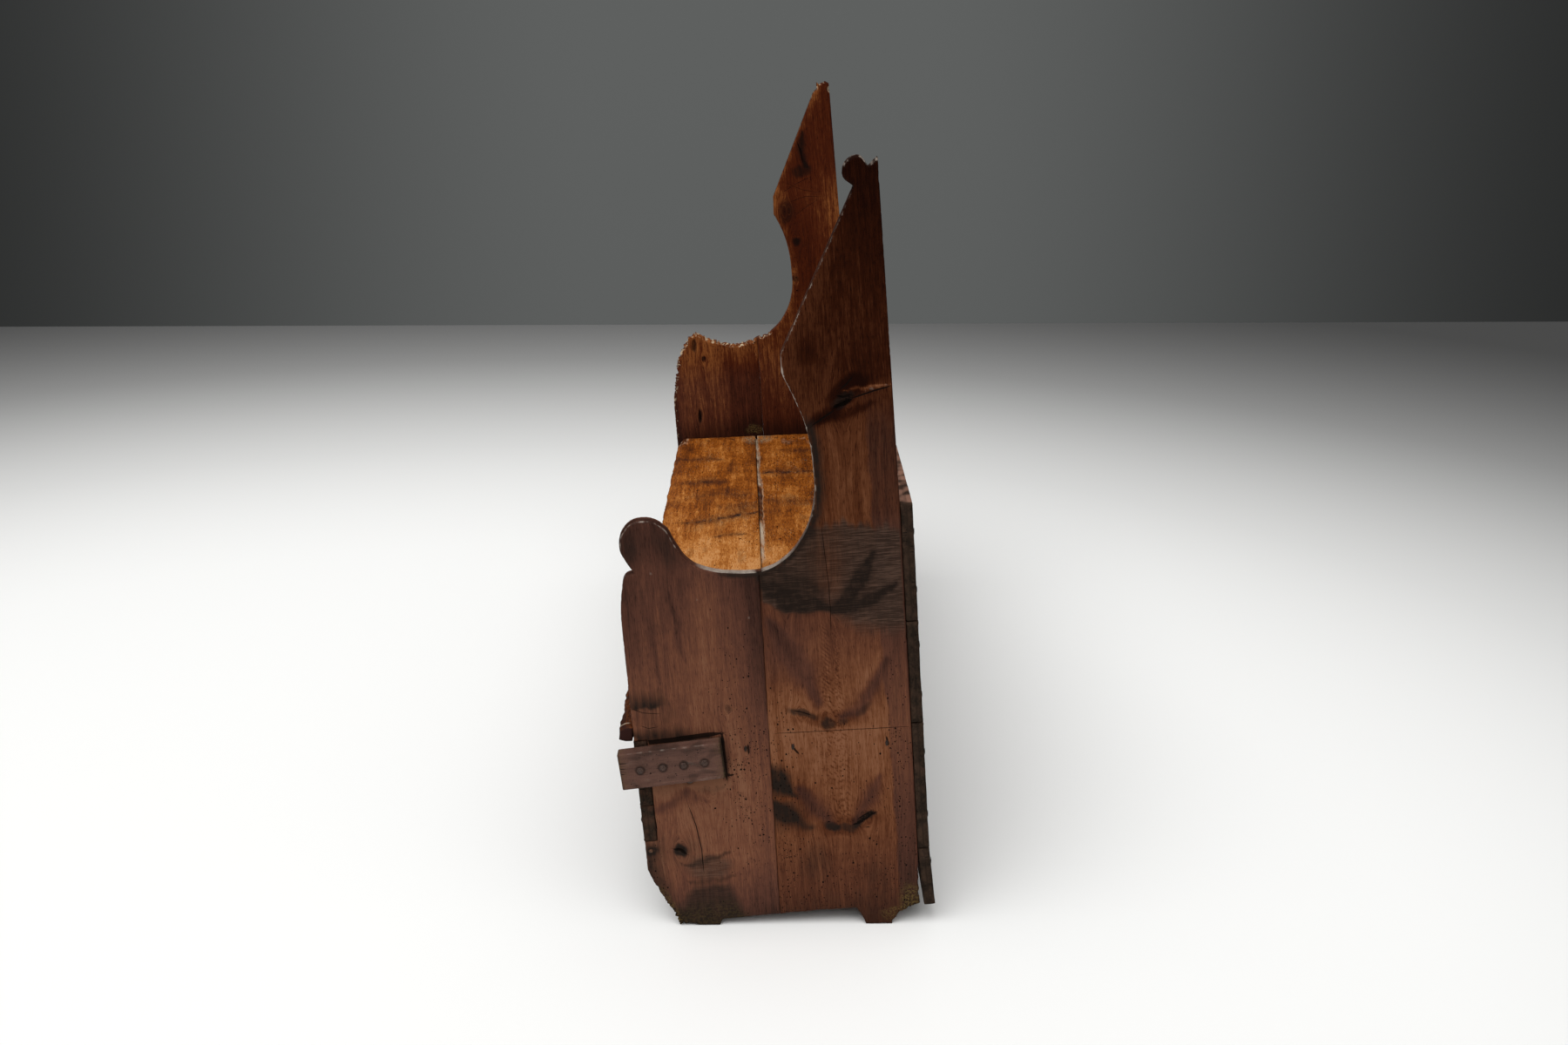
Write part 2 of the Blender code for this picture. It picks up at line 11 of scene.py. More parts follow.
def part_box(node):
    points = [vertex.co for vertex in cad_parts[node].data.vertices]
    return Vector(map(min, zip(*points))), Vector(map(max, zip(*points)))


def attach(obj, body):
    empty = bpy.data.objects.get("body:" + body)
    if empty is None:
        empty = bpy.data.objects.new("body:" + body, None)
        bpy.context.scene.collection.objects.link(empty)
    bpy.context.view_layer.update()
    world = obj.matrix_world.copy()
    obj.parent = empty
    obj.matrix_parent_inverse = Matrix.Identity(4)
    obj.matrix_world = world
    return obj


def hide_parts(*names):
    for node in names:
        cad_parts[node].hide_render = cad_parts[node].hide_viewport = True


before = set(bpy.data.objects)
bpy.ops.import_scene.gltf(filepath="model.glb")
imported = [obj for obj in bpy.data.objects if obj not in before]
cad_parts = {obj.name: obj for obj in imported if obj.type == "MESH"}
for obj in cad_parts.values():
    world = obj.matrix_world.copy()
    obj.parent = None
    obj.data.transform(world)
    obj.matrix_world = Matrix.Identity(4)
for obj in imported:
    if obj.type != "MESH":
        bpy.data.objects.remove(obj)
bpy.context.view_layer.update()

# End planks
# Each end is two pine planks, sawn through the heart of the tree and stood edge to edge on dowels.
# They are cut to shape by hand, dark with smoke and wax, wormed, gnawed and worn round by use.
LEAN = math.radians(4.0)
BENCH_PLACE = (-0.01365, 0.01539, 0.0)
LEANING = Matrix.Translation(BENCH_PLACE) @ Matrix.Rotation(LEAN, 4, "X")
BENCH_LENGTH = 1.98
END_DEPTH = 0.514
FRONT = -END_DEPTH / 2
BACK = END_DEPTH / 2
PLANK_THICK = 0.028
PLANK_MIDDLE = BENCH_LENGTH / 2 - PLANK_THICK / 2
PLANK_CELL = 0.0028
OUTLINE_CUT = 0.009
MERGE = 0.00002


def cad_shape(node):
    """The shape of a CAD piece, its doubled points merged, to be worked on."""
    shape = bmesh.new()
    shape.from_mesh(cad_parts[node].data)
    bmesh.ops.remove_doubles(shape, verts=shape.verts, dist=MERGE)
    return shape


def placed(name, data):
    """A new object in the scene."""
    made = bpy.data.objects.new(name, data)
    bpy.context.scene.collection.objects.link(made)
    return made


def piece_from(shape, name):
    """A new piece in the scene, made from a worked shape."""
    mesh = bpy.data.meshes.new(name)
    shape.to_mesh(mesh)
    shape.free()
    return placed(name, mesh)


def fine_board(name, node, cell, setting):
    """A CAD board brought out of its setting and meshed again in small squares, ready to be worn."""
    shape = cad_shape(node)
    bmesh.ops.transform(shape, matrix=setting.inverted(), verts=shape.verts)
    board = piece_from(shape, name)
    coarse = board.data
    reach = float(np.ptp(places_of(board), axis=0).max())
    squares = board.modifiers.new("small_squares", "REMESH")
    squares.mode = "SHARP"
    squares.octree_depth = math.ceil(math.log2(reach / cell / 0.99))
    squares.scale = reach / (cell * 2 ** squares.octree_depth)
    squares.use_remove_disconnected = False
    worked = board.evaluated_get(bpy.context.evaluated_depsgraph_get())
    board.data = bpy.data.meshes.new_from_object(worked)
    board.data.name = name
    board.modifiers.clear()
    bpy.data.meshes.remove(coarse)
    return board


def places_of(board):
    """The places of a board's points, one row each."""
    flat = np.empty(len(board.data.vertices) * 3, np.float32)
    board.data.vertices.foreach_get("co", flat)
    return flat.reshape(-1, 3).astype(float)


def set_back(board, places, setting):
    """Puts a board's worn points back in the bench, in their setting, with soft shading."""
    turned = places @ np.array(setting.to_3x3()).T + np.array(setting.translation)
    board.data.vertices.foreach_set("co", turned.astype(np.float32).ravel())
    board.data.shade_smooth()
    board.data.update()


def paint(board, name, *layers):
    """Keeps three painted values on each point of a board, for its finish to read."""
    layer = board.data.attributes.new(name, "FLOAT_VECTOR", "POINT")
    values = np.column_stack([np.broadcast_to(v, len(board.data.vertices)) for v in layers])
    layer.data.foreach_set("vector", values.astype(np.float32).ravel())


def ripple(places, pitch, seed=0.0):
    """A smooth random swell from -1 to 1, which rises and falls about once in each pitch."""
    steps = places / np.array(pitch) + seed
    return np.array([noise.noise(step) for step in steps.tolist()])


def swells(places, parts):
    """Adds up ripples, each given by its height, its pitch and its seed."""
    return sum(height * ripple(places, pitch, seed) for height, pitch, seed in parts)


def rise(values, low, high):
    """Goes smoothly from 0 at the low value to 1 at the high one."""
    share = np.clip((values - low) / (high - low), 0, 1)
    return share * share * (3 - 2 * share)


def fall(values, low, high):
    """Goes smoothly from 1 at the low value to 0 at the high one."""
    return 1 - rise(values, low, high)


def between(values, low, full, fading, high):
    """Rises from 0 at the low value to 1 at the full one, and fades out again up to the high one."""
    return rise(values, low, full) * fall(values, fading, high)


def course(values, stops):
    """Follows straight lines through (value, result) stops."""
    return np.interp(values, *zip(*stops))


def bell(offset, width):
    """A soft stripe: 1 where the offset is 0, fading out at its width."""
    return np.exp(-(offset / width) ** 2)


def blot(across, along, centre, size, turn=0.0):
    """A soft oval mark, 1 at its centre and fading out at its size, turned by an angle in degrees."""
    cosine = math.cos(math.radians(turn))
    sine = math.sin(math.radians(turn))
    a = across - centre[0]
    b = along - centre[1]
    return np.exp(-((a * cosine + b * sine) / size[0]) ** 2 - ((b * cosine - a * sine) / size[1]) ** 2)


def patch(across, along, centre, size, turn=0.0):
    """An oval mark of even strength that fades only at its rim."""
    return 1 - rise(np.sqrt(-np.log(blot(across, along, centre, size, turn) + 1e-9)), 0.55, 1.15)


def line_depth(across, along, line):
    """Signed distance from a line of points, and how far along the line the nearest place is, 0 to 1."""
    nearest = np.full(across.shape, 1e9)
    signed = np.zeros(across.shape)
    share = np.zeros(across.shape)
    for step, (start, end) in enumerate(zip(line, line[1:])):
        run = np.subtract(end, start)
        length = np.hypot(*run)
        a = across - start[0]
        b = along - start[1]
        t = np.clip((a * run[0] + b * run[1]) / length ** 2, 0, 1)
        gap = np.hypot(a - t * run[0], b - t * run[1])
        side = np.sign(a * run[1] - b * run[0])
        closer = gap < nearest
        nearest = np.where(closer, gap, nearest)
        signed = np.where(closer, gap * side, signed)
        share = np.where(closer, (step + t) / (len(line) - 1), share)
    return signed, share


def streak(across, along, line, width):
    """A soft stripe along a line of points, thinning towards both ends."""
    signed, share = line_depth(across, along, line)
    thin = width * (0.35 + 0.65 * np.sin(np.pi * np.clip(share, 0.02, 0.98)))
    return bell(signed, thin)


def marks_on(across, along, marks):
    """Adds up marks on a face, each given by its strength, its kind, and its place and shape."""
    return sum(strength * kind(across, along, *shape) for strength, kind, *shape in marks)


def cracks(across, along, lines):
    """Cracks and scribed lines for the finish to draw: signed distance, reach and half width, in mm."""
    nearest = np.full(across.shape, 1.0)
    width = np.zeros(across.shape)
    for line, half_width in lines:
        signed, share = line_depth(across, along, line)
        closer = np.abs(signed) < np.abs(nearest)
        nearest = np.where(closer, signed, nearest)
        taper = half_width * np.minimum(1, 6 * np.minimum(share, 1 - share) + 0.15)
        width = np.where(closer, taper, width)
    reach = fall(np.abs(nearest), 0.006, 0.01)
    return nearest * 1000, reach, width * 1000


def grain_round(across, along, knots):
    """Where each fibre would lie across the plank if it hadn't grown round the knots."""
    bent = across.copy()
    for centre_across, centre_along, size, run in knots:
        a = across - centre_across
        b = (along - centre_along) / run
        bent -= a * size ** 2 / (a * a + b * b + 0.25 * size ** 2)
    return bent


def sawn_outline(node, cut):
    """The closed line that an end plank was sawn to, as (depth, height) points."""
    shape = cad_shape(node)
    bmesh.ops.transform(shape, matrix=LEANING.inverted(), verts=shape.verts)
    everything = shape.verts[:] + shape.edges[:] + shape.faces[:]
    bmesh.ops.bisect_plane(shape, geom=everything, plane_co=(cut, 0, 0), plane_no=(1, 0, 0),
                           clear_inner=True, clear_outer=True)
    start = min(shape.verts, key=lambda v: v.co.z)
    loop = [start]
    edge = start.link_edges[0]
    while True:
        after = edge.other_vert(loop[-1])
        if after is start:
            break
        loop.append(after)
        edge = next(e for e in after.link_edges if e is not edge)
    points = np.array([(v.co.y, v.co.z) for v in loop])
    shape.free()
    return points


def outline_depth(places, outline):
    """How far inside a sawn outline each place lies, and the direction straight in from its edge."""
    after = np.roll(outline, -1, axis=0)
    winding = np.sign(np.sum(outline[:, 0] * after[:, 1] - after[:, 0] * outline[:, 1]))
    nearest = np.full(len(places), 1e9)
    inward = np.zeros((len(places), 2))
    for start, end in zip(outline, after):
        run = end - start
        length = np.hypot(*run)
        offset = places - start
        t = np.clip(offset @ run / length ** 2, 0, 1)
        gap = np.hypot(*(offset - t[:, None] * run).T)
        closer = gap < nearest
        nearest = np.where(closer, gap, nearest)
        inward[closer] = np.array((-run[1], run[0])) * winding / length
    return nearest, inward


def ease_edges(depths, radius):
    """Rounds the edges of a board: new depths below its faces, from the old ones and a radius."""
    over = [np.maximum(radius - depth, 0) for depth in depths]
    reach = np.sqrt(sum(part * part for part in over))
    pull = np.where(reach > radius, radius / np.maximum(reach, 1e-9), 1)
    return [np.where(part > 0, radius - part * pull, depth) for part, depth in zip(over, depths)]


def new_finish(name):
    """A new material, with its node tree and its shader."""
    material = bpy.data.materials.new(name)
    material.use_nodes = True
    return material, material.node_tree, material.node_tree.nodes["Principled BSDF"]


def feed(tree, node, feeds):
    """Feeds a shader node's sockets with values or links."""
    for socket, value in feeds.items():
        if isinstance(value, bpy.types.NodeSocket):
            tree.links.new(value, node.inputs[socket])
        else:
            node.inputs[socket].default_value = value


def add(tree, kind, feeds, **settings):
    """Adds a shader node, feeds it, and returns its outputs."""
    made = tree.nodes.new("ShaderNode" + kind)
    for key, value in settings.items():
        setattr(made, key, value)
    feed(tree, made, feeds)
    return made.outputs


def sums(tree, operation, first, second=0.0, third=0.0):
    """One step of arithmetic in a shader."""
    return add(tree, "Math", {0: first, 1: second, 2: third}, operation=operation)[0]


def plus(tree, part, amount, base):
    """Adds a part, times an amount, to a value in a shader."""
    return sums(tree, "MULTIPLY_ADD", part, amount, base)


def swing(tree, pattern, amount, base):
    """Adds a noise's swing about its middle, times an amount, to a value in a shader."""
    return plus(tree, sums(tree, "SUBTRACT", pattern, 0.5), amount, base)


def fade(tree, value, low, high, start=0.0, end=1.0):
    """Goes smoothly from one value to another in a shader, as its input rises from low to high."""
    feeds = {"Value": value, "From Min": low, "From Max": high, "To Min": start, "To Max": end}
    return add(tree, "MapRange", feeds, interpolation_type="SMOOTHSTEP")[0]


def layer_over(tree, share, under, over):
    """Lays one colour over another."""
    colours = [c if isinstance(c, bpy.types.NodeSocket) else (*c, 1) for c in (under, over)]
    return add(tree, "Mix", {0: share, 6: colours[0], 7: colours[1]}, data_type="RGBA")[2]


def painted(tree, name):
    """The three values that were painted on a board under a name."""
    return add(tree, "SeparateXYZ", {0: add(tree, "Attribute", {}, attribute_name=name)["Vector"]})


def speckle(tree, place, scale, detail, roughness):
    """Plain noise in a shader."""
    feeds = {"Vector": place, "Scale": scale, "Detail": detail, "Roughness": roughness}
    return add(tree, "TexNoise", feeds)[0]


def fibre_noise(tree, flow, across, along, detail, roughness=0.6):
    """Noise drawn out along the grain: streaks of a width across and a length along."""
    scale = (1 / across, 1 / along, 1 / across)
    stretched = add(tree, "Mapping", {"Vector": flow, "Scale": scale})[0]
    return speckle(tree, stretched, 1.0, detail, roughness)


def tone_ramp(tree, level, tones):
    """The colour of a tone level, from a list of (level, colour) stops."""
    ramp = tree.nodes.new("ShaderNodeValToRGB")
    while len(ramp.color_ramp.elements) < len(tones):
        ramp.color_ramp.elements.new(0.5)
    for stop, (position, colour) in zip(ramp.color_ramp.elements, tones):
        stop.position = position
        stop.color = (*colour, 1)
    tree.links.new(level, ramp.inputs[0])
    return ramp.outputs[0]


SAW_SCALE = (32.0, 540.0, 40.0)
SAW_SLANT = (0, 0, 0.004)
WORM_SIZES = (((105.0, 80.0, 1.0), 0.06, 0.12), ((190.0, 130.0, 1.0), 0.065, 0.14))
CRUMB_SCALE = 210.0
PIT_SHADE = 0.3
GRAIN_DEPTH = 0.0011


def worm_holes(tree, flow, share, holes):
    """Pinholes of two sizes, as many as a share asks for; with the small ones' spots and a random pick."""
    hole = 0.0
    for scale, smallest, spread in WORM_SIZES:
        place = add(tree, "Mapping", {"Vector": flow, "Scale": scale})[0]
        cells = add(tree, "TexVoronoi", {"Vector": place, "Scale": 1.0}, voronoi_dimensions="2D")
        pick = add(tree, "SeparateXYZ", {0: cells["Color"]})
        here = sums(tree, "LESS_THAN", pick[0], share)
        size = plus(tree, sums(tree, "POWER", pick[1], 2.0), spread * holes, smallest * holes)
        spot = fade(tree, sums(tree, "DIVIDE", cells["Distance"], size), 0.75, 1.15, 1.0, 0.0)
        hole = sums(tree, "MAXIMUM", hole, sums(tree, "MULTIPLY", spot, here))
    return hole, spot, pick[2]


def aged_wood(name, tones, grime_and_shade, wear_and_highlight, rot, gloss, shine, contrast=0.5, run=1.0, specks=0.0, sawn=None,
              sap_tones=None, holes=1.0):
    """Old wood that reads its board's painted grain, tone, grime and painted shade, wear and painted
    highlights, saw marks, worm, rot and cracks.
    """
    material, tree, shader = new_finish(name)
    flow = add(tree, "Attribute", {}, attribute_name="grain")["Vector"]
    tone = painted(tree, "tone")
    marks = painted(tree, "marks")
    crack = painted(tree, "crack")

    rings = fibre_noise(tree, flow, 0.0075, 0.26 * run, 5.0, 0.74)
    bands = fibre_noise(tree, flow, 0.034, 0.5 * run, 2.0)
    fibres = fibre_noise(tree, flow, 0.0022, 0.045 * run, 3.0, 0.65)
    mottle = fibre_noise(tree, flow, 0.013, 0.022, 5.0, 0.68)
    pores = fade(tree, fibre_noise(tree, flow, 0.0011, 0.014, 2.0, 0.5), 0.56, 0.7)

    level = tone[0]
    for pattern, share in ((rings, 1.0), (bands, 0.5), (fibres, 1.0), (mottle, 0.55)):
        level = swing(tree, pattern, contrast * share, level)
    level = plus(tree, pores, contrast * -0.45, level)
    colour = tone_ramp(tree, level, tones)
    if sap_tones:
        colour = layer_over(tree, painted(tree, "sap")[0], colour, tone_ramp(tree, level, sap_tones))

    # Saw marks run across the grain, in broken ridges a few millimetres apart
    saw_place = add(tree, "Mapping", {"Vector": flow, "Scale": SAW_SCALE, "Rotation": SAW_SLANT})[0]
    saw = speckle(tree, saw_place, 1.0, 3.0, 0.6)
    saw_ridge = sums(tree, "MULTIPLY", fade(tree, saw, 0.42, 0.6), marks[0])

    # Grime and painted shade settle in the mottle and between the rings; wear with painted highlights, and
    # rot, lie over it
    grime_and_shade_edge = swing(tree, mottle, 0.9, tone[1])
    grime_and_shade_edge = swing(tree, rings, -0.6, grime_and_shade_edge)
    grime_and_shade_edge = plus(tree, saw_ridge, -0.2, grime_and_shade_edge)
    grime_and_shade_edge = sums(tree, "MINIMUM", sums(tree, "MAXIMUM", grime_and_shade_edge, 0.0), 1.0)
    grime_and_shade_share = sums(tree, "MULTIPLY", grime_and_shade_edge, fade(tree, tone[1], 0.0, 0.15))
    if sawn:
        saw_tone = layer_over(tree, fade(tree, saw, 0.38, 0.62), *sawn)
        colour = layer_over(tree, sums(tree, "MULTIPLY", marks[0], 0.9), colour, saw_tone)
    colour = layer_over(tree, grime_and_shade_share, colour, grime_and_shade)
    wear_and_highlight_edge = swing(tree, mottle, 0.8, tone[2])
    wear_and_highlight_share = sums(tree, "MULTIPLY", fade(tree, wear_and_highlight_edge, 0.15, 0.95), fade(tree, tone[2], 0.0, 0.2))
    colour = layer_over(tree, wear_and_highlight_share, colour, wear_and_highlight)
    crumble = speckle(tree, flow, CRUMB_SCALE, 3.0, 0.7)
    rot_share = sums(tree, "MULTIPLY", fade(tree, crumble, 0.4, 0.62), marks[2])
    colour = layer_over(tree, rot_share, colour, rot)

    # Worm holes come in clusters, cracks are thin lines at the painted distance
    cluster = fade(tree, fibre_noise(tree, flow, 0.03, 0.045, 2.0), 0.42, 0.6, 0.15, 1.5)
    worm_hole, spot, pick = worm_holes(tree, flow, sums(tree, "MULTIPLY", marks[1], cluster), holes)
    gap = sums(tree, "ABSOLUTE", swing(tree, mottle, 1.4, crack[0]))
    gap = sums(tree, "SUBTRACT", gap, crack[2])
    split = sums(tree, "MULTIPLY", fade(tree, gap, -0.15, 0.35, 1.0, 0.0), fade(tree, crack[1], 0.4, 0.9))
    pits = sums(tree, "MAXIMUM", worm_hole, sums(tree, "MULTIPLY", split, 0.9))
    colour = layer_over(tree, pits, colour, tuple(PIT_SHADE * part for part in grime_and_shade))
    if specks:
        speck_here = sums(tree, "GREATER_THAN", pick, 1 - specks)
        speck = sums(tree, "MULTIPLY", spot, sums(tree, "MULTIPLY", speck_here, marks[1]))
        colour = layer_over(tree, speck, colour, wear_and_highlight)

    # Grime and painted shade, rot and pits are duller; the bumps follow the rings, saw marks, crumbs and pits
    rough = swing(tree, rings, 0.3, gloss)
    for part, amount in ((tone[1], 0.28), (marks[2], 0.3), (pits, 0.4)):
        rough = plus(tree, part, amount, rough)
    crumbled = sums(tree, "MULTIPLY", crumble, marks[2])
    height = sums(tree, "MULTIPLY", fibres, 0.15)
    for part, amount in ((rings, 0.35), (mottle, 0.3), (saw_ridge, 0.6), (crumbled, 2.5), (pits, -2.2)):
        height = plus(tree, part, amount, height)
    bump = add(tree, "Bump", {"Height": height, "Strength": 0.75, "Distance": GRAIN_DEPTH})[0]
    feed(tree, shader, {"Base Color": colour, "Roughness": rough, "Normal": bump})
    shader.inputs["Specular IOR Level"].default_value = shine
    return material


HEART_TONES = [
    (0.0, (0.0105, 0.0022, 0.0008)),
    (0.3, (0.03, 0.0064, 0.0018)),
    (0.6, (0.088, 0.027, 0.0098)),
    (0.85, (0.16, 0.059, 0.0255)),
    (1.0, (0.21, 0.088, 0.044)),
]
PURPLE_TONES = [
    (0.0, (0.0172, 0.007, 0.0045)),
    (0.3, (0.047, 0.0188, 0.0126)),
    (0.6, (0.09, 0.0343, 0.0213)),
    (0.85, (0.148, 0.056, 0.0295)),
    (1.0, (0.19, 0.083, 0.045)),
]
WAXED_TONES = [
    (0.0, (0.015, 0.0026, 0.0008)),
    (0.3, (0.04, 0.0088, 0.0042)),
    (0.5, (0.056, 0.0105, 0.0034)),
    (0.7, (0.082, 0.0185, 0.0058)),
    (1.0, (0.23, 0.076, 0.02)),
]
END_GRIME_AND_SHADE = (0.0165, 0.0107, 0.008)
END_WORN_AND_HIGHLIGHT = (0.36, 0.3, 0.25)
END_ROT = (0.115, 0.074, 0.024)
END_SAWN = ((0.03, 0.018, 0.0128), (0.079, 0.0465, 0.0325))
heart_wood = aged_wood("smoked_heart_pine", HEART_TONES, END_GRIME_AND_SHADE, END_WORN_AND_HIGHLIGHT, END_ROT, 0.5, 0.03,
                       contrast=0.62, sawn=END_SAWN, sap_tones=PURPLE_TONES)
purple_wood = aged_wood("smoked_outer_pine", PURPLE_TONES, END_GRIME_AND_SHADE, END_WORN_AND_HIGHLIGHT, END_ROT, 0.5, 0.05,
                        contrast=0.64, sawn=END_SAWN)
RAW_CRUMBS_AND_GLINTS = (0.52, 0.4, 0.26)
WAXED_GRIME = (0.01, 0.0042, 0.0028)
waxed_wood = aged_wood("waxed_red_pine", WAXED_TONES, WAXED_GRIME, RAW_CRUMBS_AND_GLINTS, END_ROT, 0.36, 0.03,
                       contrast=0.86, sap_tones=PURPLE_TONES)


# The painters of the faces: y runs from the front edge to the back one and z up, in metres.
# Each gives tone, sapwood, grime and in places painted shade, saw marks, worm and rot, and then its cracks,
# as lines and half widths.
def right_back_face(y, z):
    """Outside of the right end's back plank."""
    # Tone by height, darker towards the top: partly the plank's own tone, partly painted shade as the light
    # falls off upwards
    level = course(z, [
        (0.0, 0.4), (0.03, 0.5), (0.08, 0.58), (0.14, 0.66), (0.2, 0.76), (0.28, 0.84), (0.4, 0.95),
        (0.52, 0.82), (0.62, 0.63), (0.7, 0.6), (0.8, 0.64), (0.87, 0.64), (0.94, 0.6),
        (1.0, 0.51), (1.06, 0.42), (1.2, 0.29), (1.3, 0.21), (1.38, 0.12), (1.45, 0.06),
    ])
    sapwood = rise(y - 0.206 - 0.018 * (0.9 - z), -0.003, 0.003) * fall(z, 0.95, 1.05)
    level -= 0.16 * sapwood
    grime_and_shade = 0.12 * sapwood
    sap = sapwood * (1 - 0.55 * rise(z, 0.78, 0.84))
    sap += 0.55 * between(z, 0.45, 0.6, 0.66, 0.7) + 0.45 * fall(z, 0.08, 0.26)
    glow = fall(y - course(z, [(1.05, 0.07), (1.12, 0.075), (1.4, 0.205)]), 0.0, 0.045)
    level += 0.12 * glow * between(z, 1.03, 1.1, 1.3, 1.4)

    # The band of saw marks, with the black arms of two branches crossing it in a V
    band_top = course(y, [
        (0.0, 0.76), (0.1, 0.81), (0.119, 0.797), (0.143, 0.809), (0.204, 0.801), (0.26, 0.793),
    ])
    band_foot = course(y, [
        (0.0, 0.667), (0.049, 0.643), (0.115, 0.643), (0.15, 0.623), (0.179, 0.6), (0.216, 0.6),
        (0.26, 0.59),
    ])
    ragged = 0.005 * np.sin(y * 170) + 0.003 * np.sin(y * 410 + 1)
    right_of_pith = rise(y, 0.105, 0.15)
    soft = 0.004 + 0.022 * right_of_pith
    in_band = rise((z - band_foot) / soft, -1, 1) * fall(z - band_top - ragged, -0.012, 0.008)
    saw = in_band * (1 - 0.45 * blot(y, z, (0.12, 0.73), (0.03, 0.09)))
    grime_and_shade = grime_and_shade * (1 - in_band) + in_band * (0.5 - 0.33 * right_of_pith)
    grime_and_shade -= in_band * marks_on(y, z, [
        (0.22, blot, (0.116, 0.72), (0.012, 0.06)),
        (0.3, blot, (0.244, 0.7), (0.014, 0.016)),
        (0.25, patch, (0.022, 0.662), (0.03, 0.012), -24),
    ])
    grime_and_shade += marks_on(y, z, [
        (1.0, streak, [(0.0, 0.702), (0.05, 0.664), (0.113, 0.648)], 0.02),
        (0.3, streak, [(0.03, 0.73), (0.07, 0.7), (0.105, 0.68)], 0.016),
        (1.4, streak, [(0.126, 0.645), (0.161, 0.675), (0.185, 0.708), (0.203, 0.742)], 0.014),
        (1.3, streak, [(0.126, 0.643), (0.182, 0.65), (0.24, 0.682)], 0.011),
        (0.25, blot, (0.2, 0.715), (0.03, 0.03)),
    ])

    # The whorl at the spike knot: dark fibres that bend round it, a black core and a crusty ridge, lightened
    # along its top with a painted highlight
    level += marks_on(y, z, [
        (-0.4, patch, (0.176, 1.048), (0.048, 0.022), 32),
        (-0.45, streak, [(0.1, 0.985), (0.135, 1.004), (0.165, 1.02)], 0.011),
        (-0.3, streak, [(0.125, 0.992), (0.165, 1.004), (0.215, 1.022)], 0.01),
        (-0.22, blot, (0.205, 1.085), (0.035, 0.045)),
        (-0.2, blot, (0.112, 1.12), (0.016, 0.022)),
        (0.55, streak, [(0.168, 1.044), (0.205, 1.05), (0.254, 1.057)], 0.003),
    ])
    grime_and_shade += 0.55 * patch(y, z, (0.166, 1.03), (0.026, 0.01), 26)

    # Two lower whorls: knots by the pith, with broad brown arms that rise from them
    arms = np.maximum.reduce([
        streak(y, z, [(0.012, 0.625), (0.052, 0.545), (0.09, 0.462)], 0.026),
        0.5 * blot(y, z, (0.03, 0.56), (0.035, 0.07), -24),
        streak(y, z, [(0.132, 0.43), (0.165, 0.447), (0.192, 0.482), (0.22, 0.536)], 0.018),
        0.9 * streak(y, z, [(0.045, 0.292), (0.07, 0.25), (0.098, 0.214)], 0.019),
        0.9 * streak(y, z, [(0.142, 0.215), (0.172, 0.258), (0.192, 0.305)], 0.017),
    ])
    level -= 0.36 * arms
    sap += 0.9 * arms
    level += marks_on(y, z, [
        (0.12, streak, [(0.166, 0.478), (0.19, 0.515), (0.205, 0.55)], 0.012),
        (0.08, blot, (0.08, 0.56), (0.014, 0.07), -20),
        (-0.2, patch, (0.106, 0.428), (0.075, 0.016), -4),
        (-0.22, patch, (0.13, 0.208), (0.07, 0.022), 8),
        (-0.16, patch, (0.022, 0.27), (0.05, 0.085), 14),
    ])
    grime_and_shade += marks_on(y, z, [
        (0.75, patch, (0.06, 0.443), (0.032, 0.009), -16),
        (0.78, patch, (0.103, 0.421), (0.016, 0.012), -30),
        (0.55, patch, (0.131, 0.421), (0.011, 0.006)),
        (0.55, patch, (0.168, 0.441), (0.02, 0.009), 25),
        (0.98, patch, (0.161, 0.217), (0.025, 0.008), 28),
        (0.62, patch, (0.128, 0.204), (0.03, 0.01), 6),
        (0.85, patch, (0.097, 0.207), (0.017, 0.011), -25),
        (0.85, streak, [(-0.016, 0.338), (0.004, 0.31), (0.036, 0.276)], 0.017),
        (0.7, blot, (0.002, 0.298), (0.022, 0.028)),
        (0.8, streak, [(-0.014, 0.262), (0.018, 0.236), (0.056, 0.204)], 0.019),
        (0.75, blot, (0.002, 0.238), (0.026, 0.028)),
        (-0.45, streak, [(-0.012, 0.273), (0.036, 0.271)], 0.004),
        (0.38, blot, (0.062, 0.13), (0.026, 0.04)),
        (0.3, blot, (0.18, 0.095), (0.03, 0.026)),
    ])

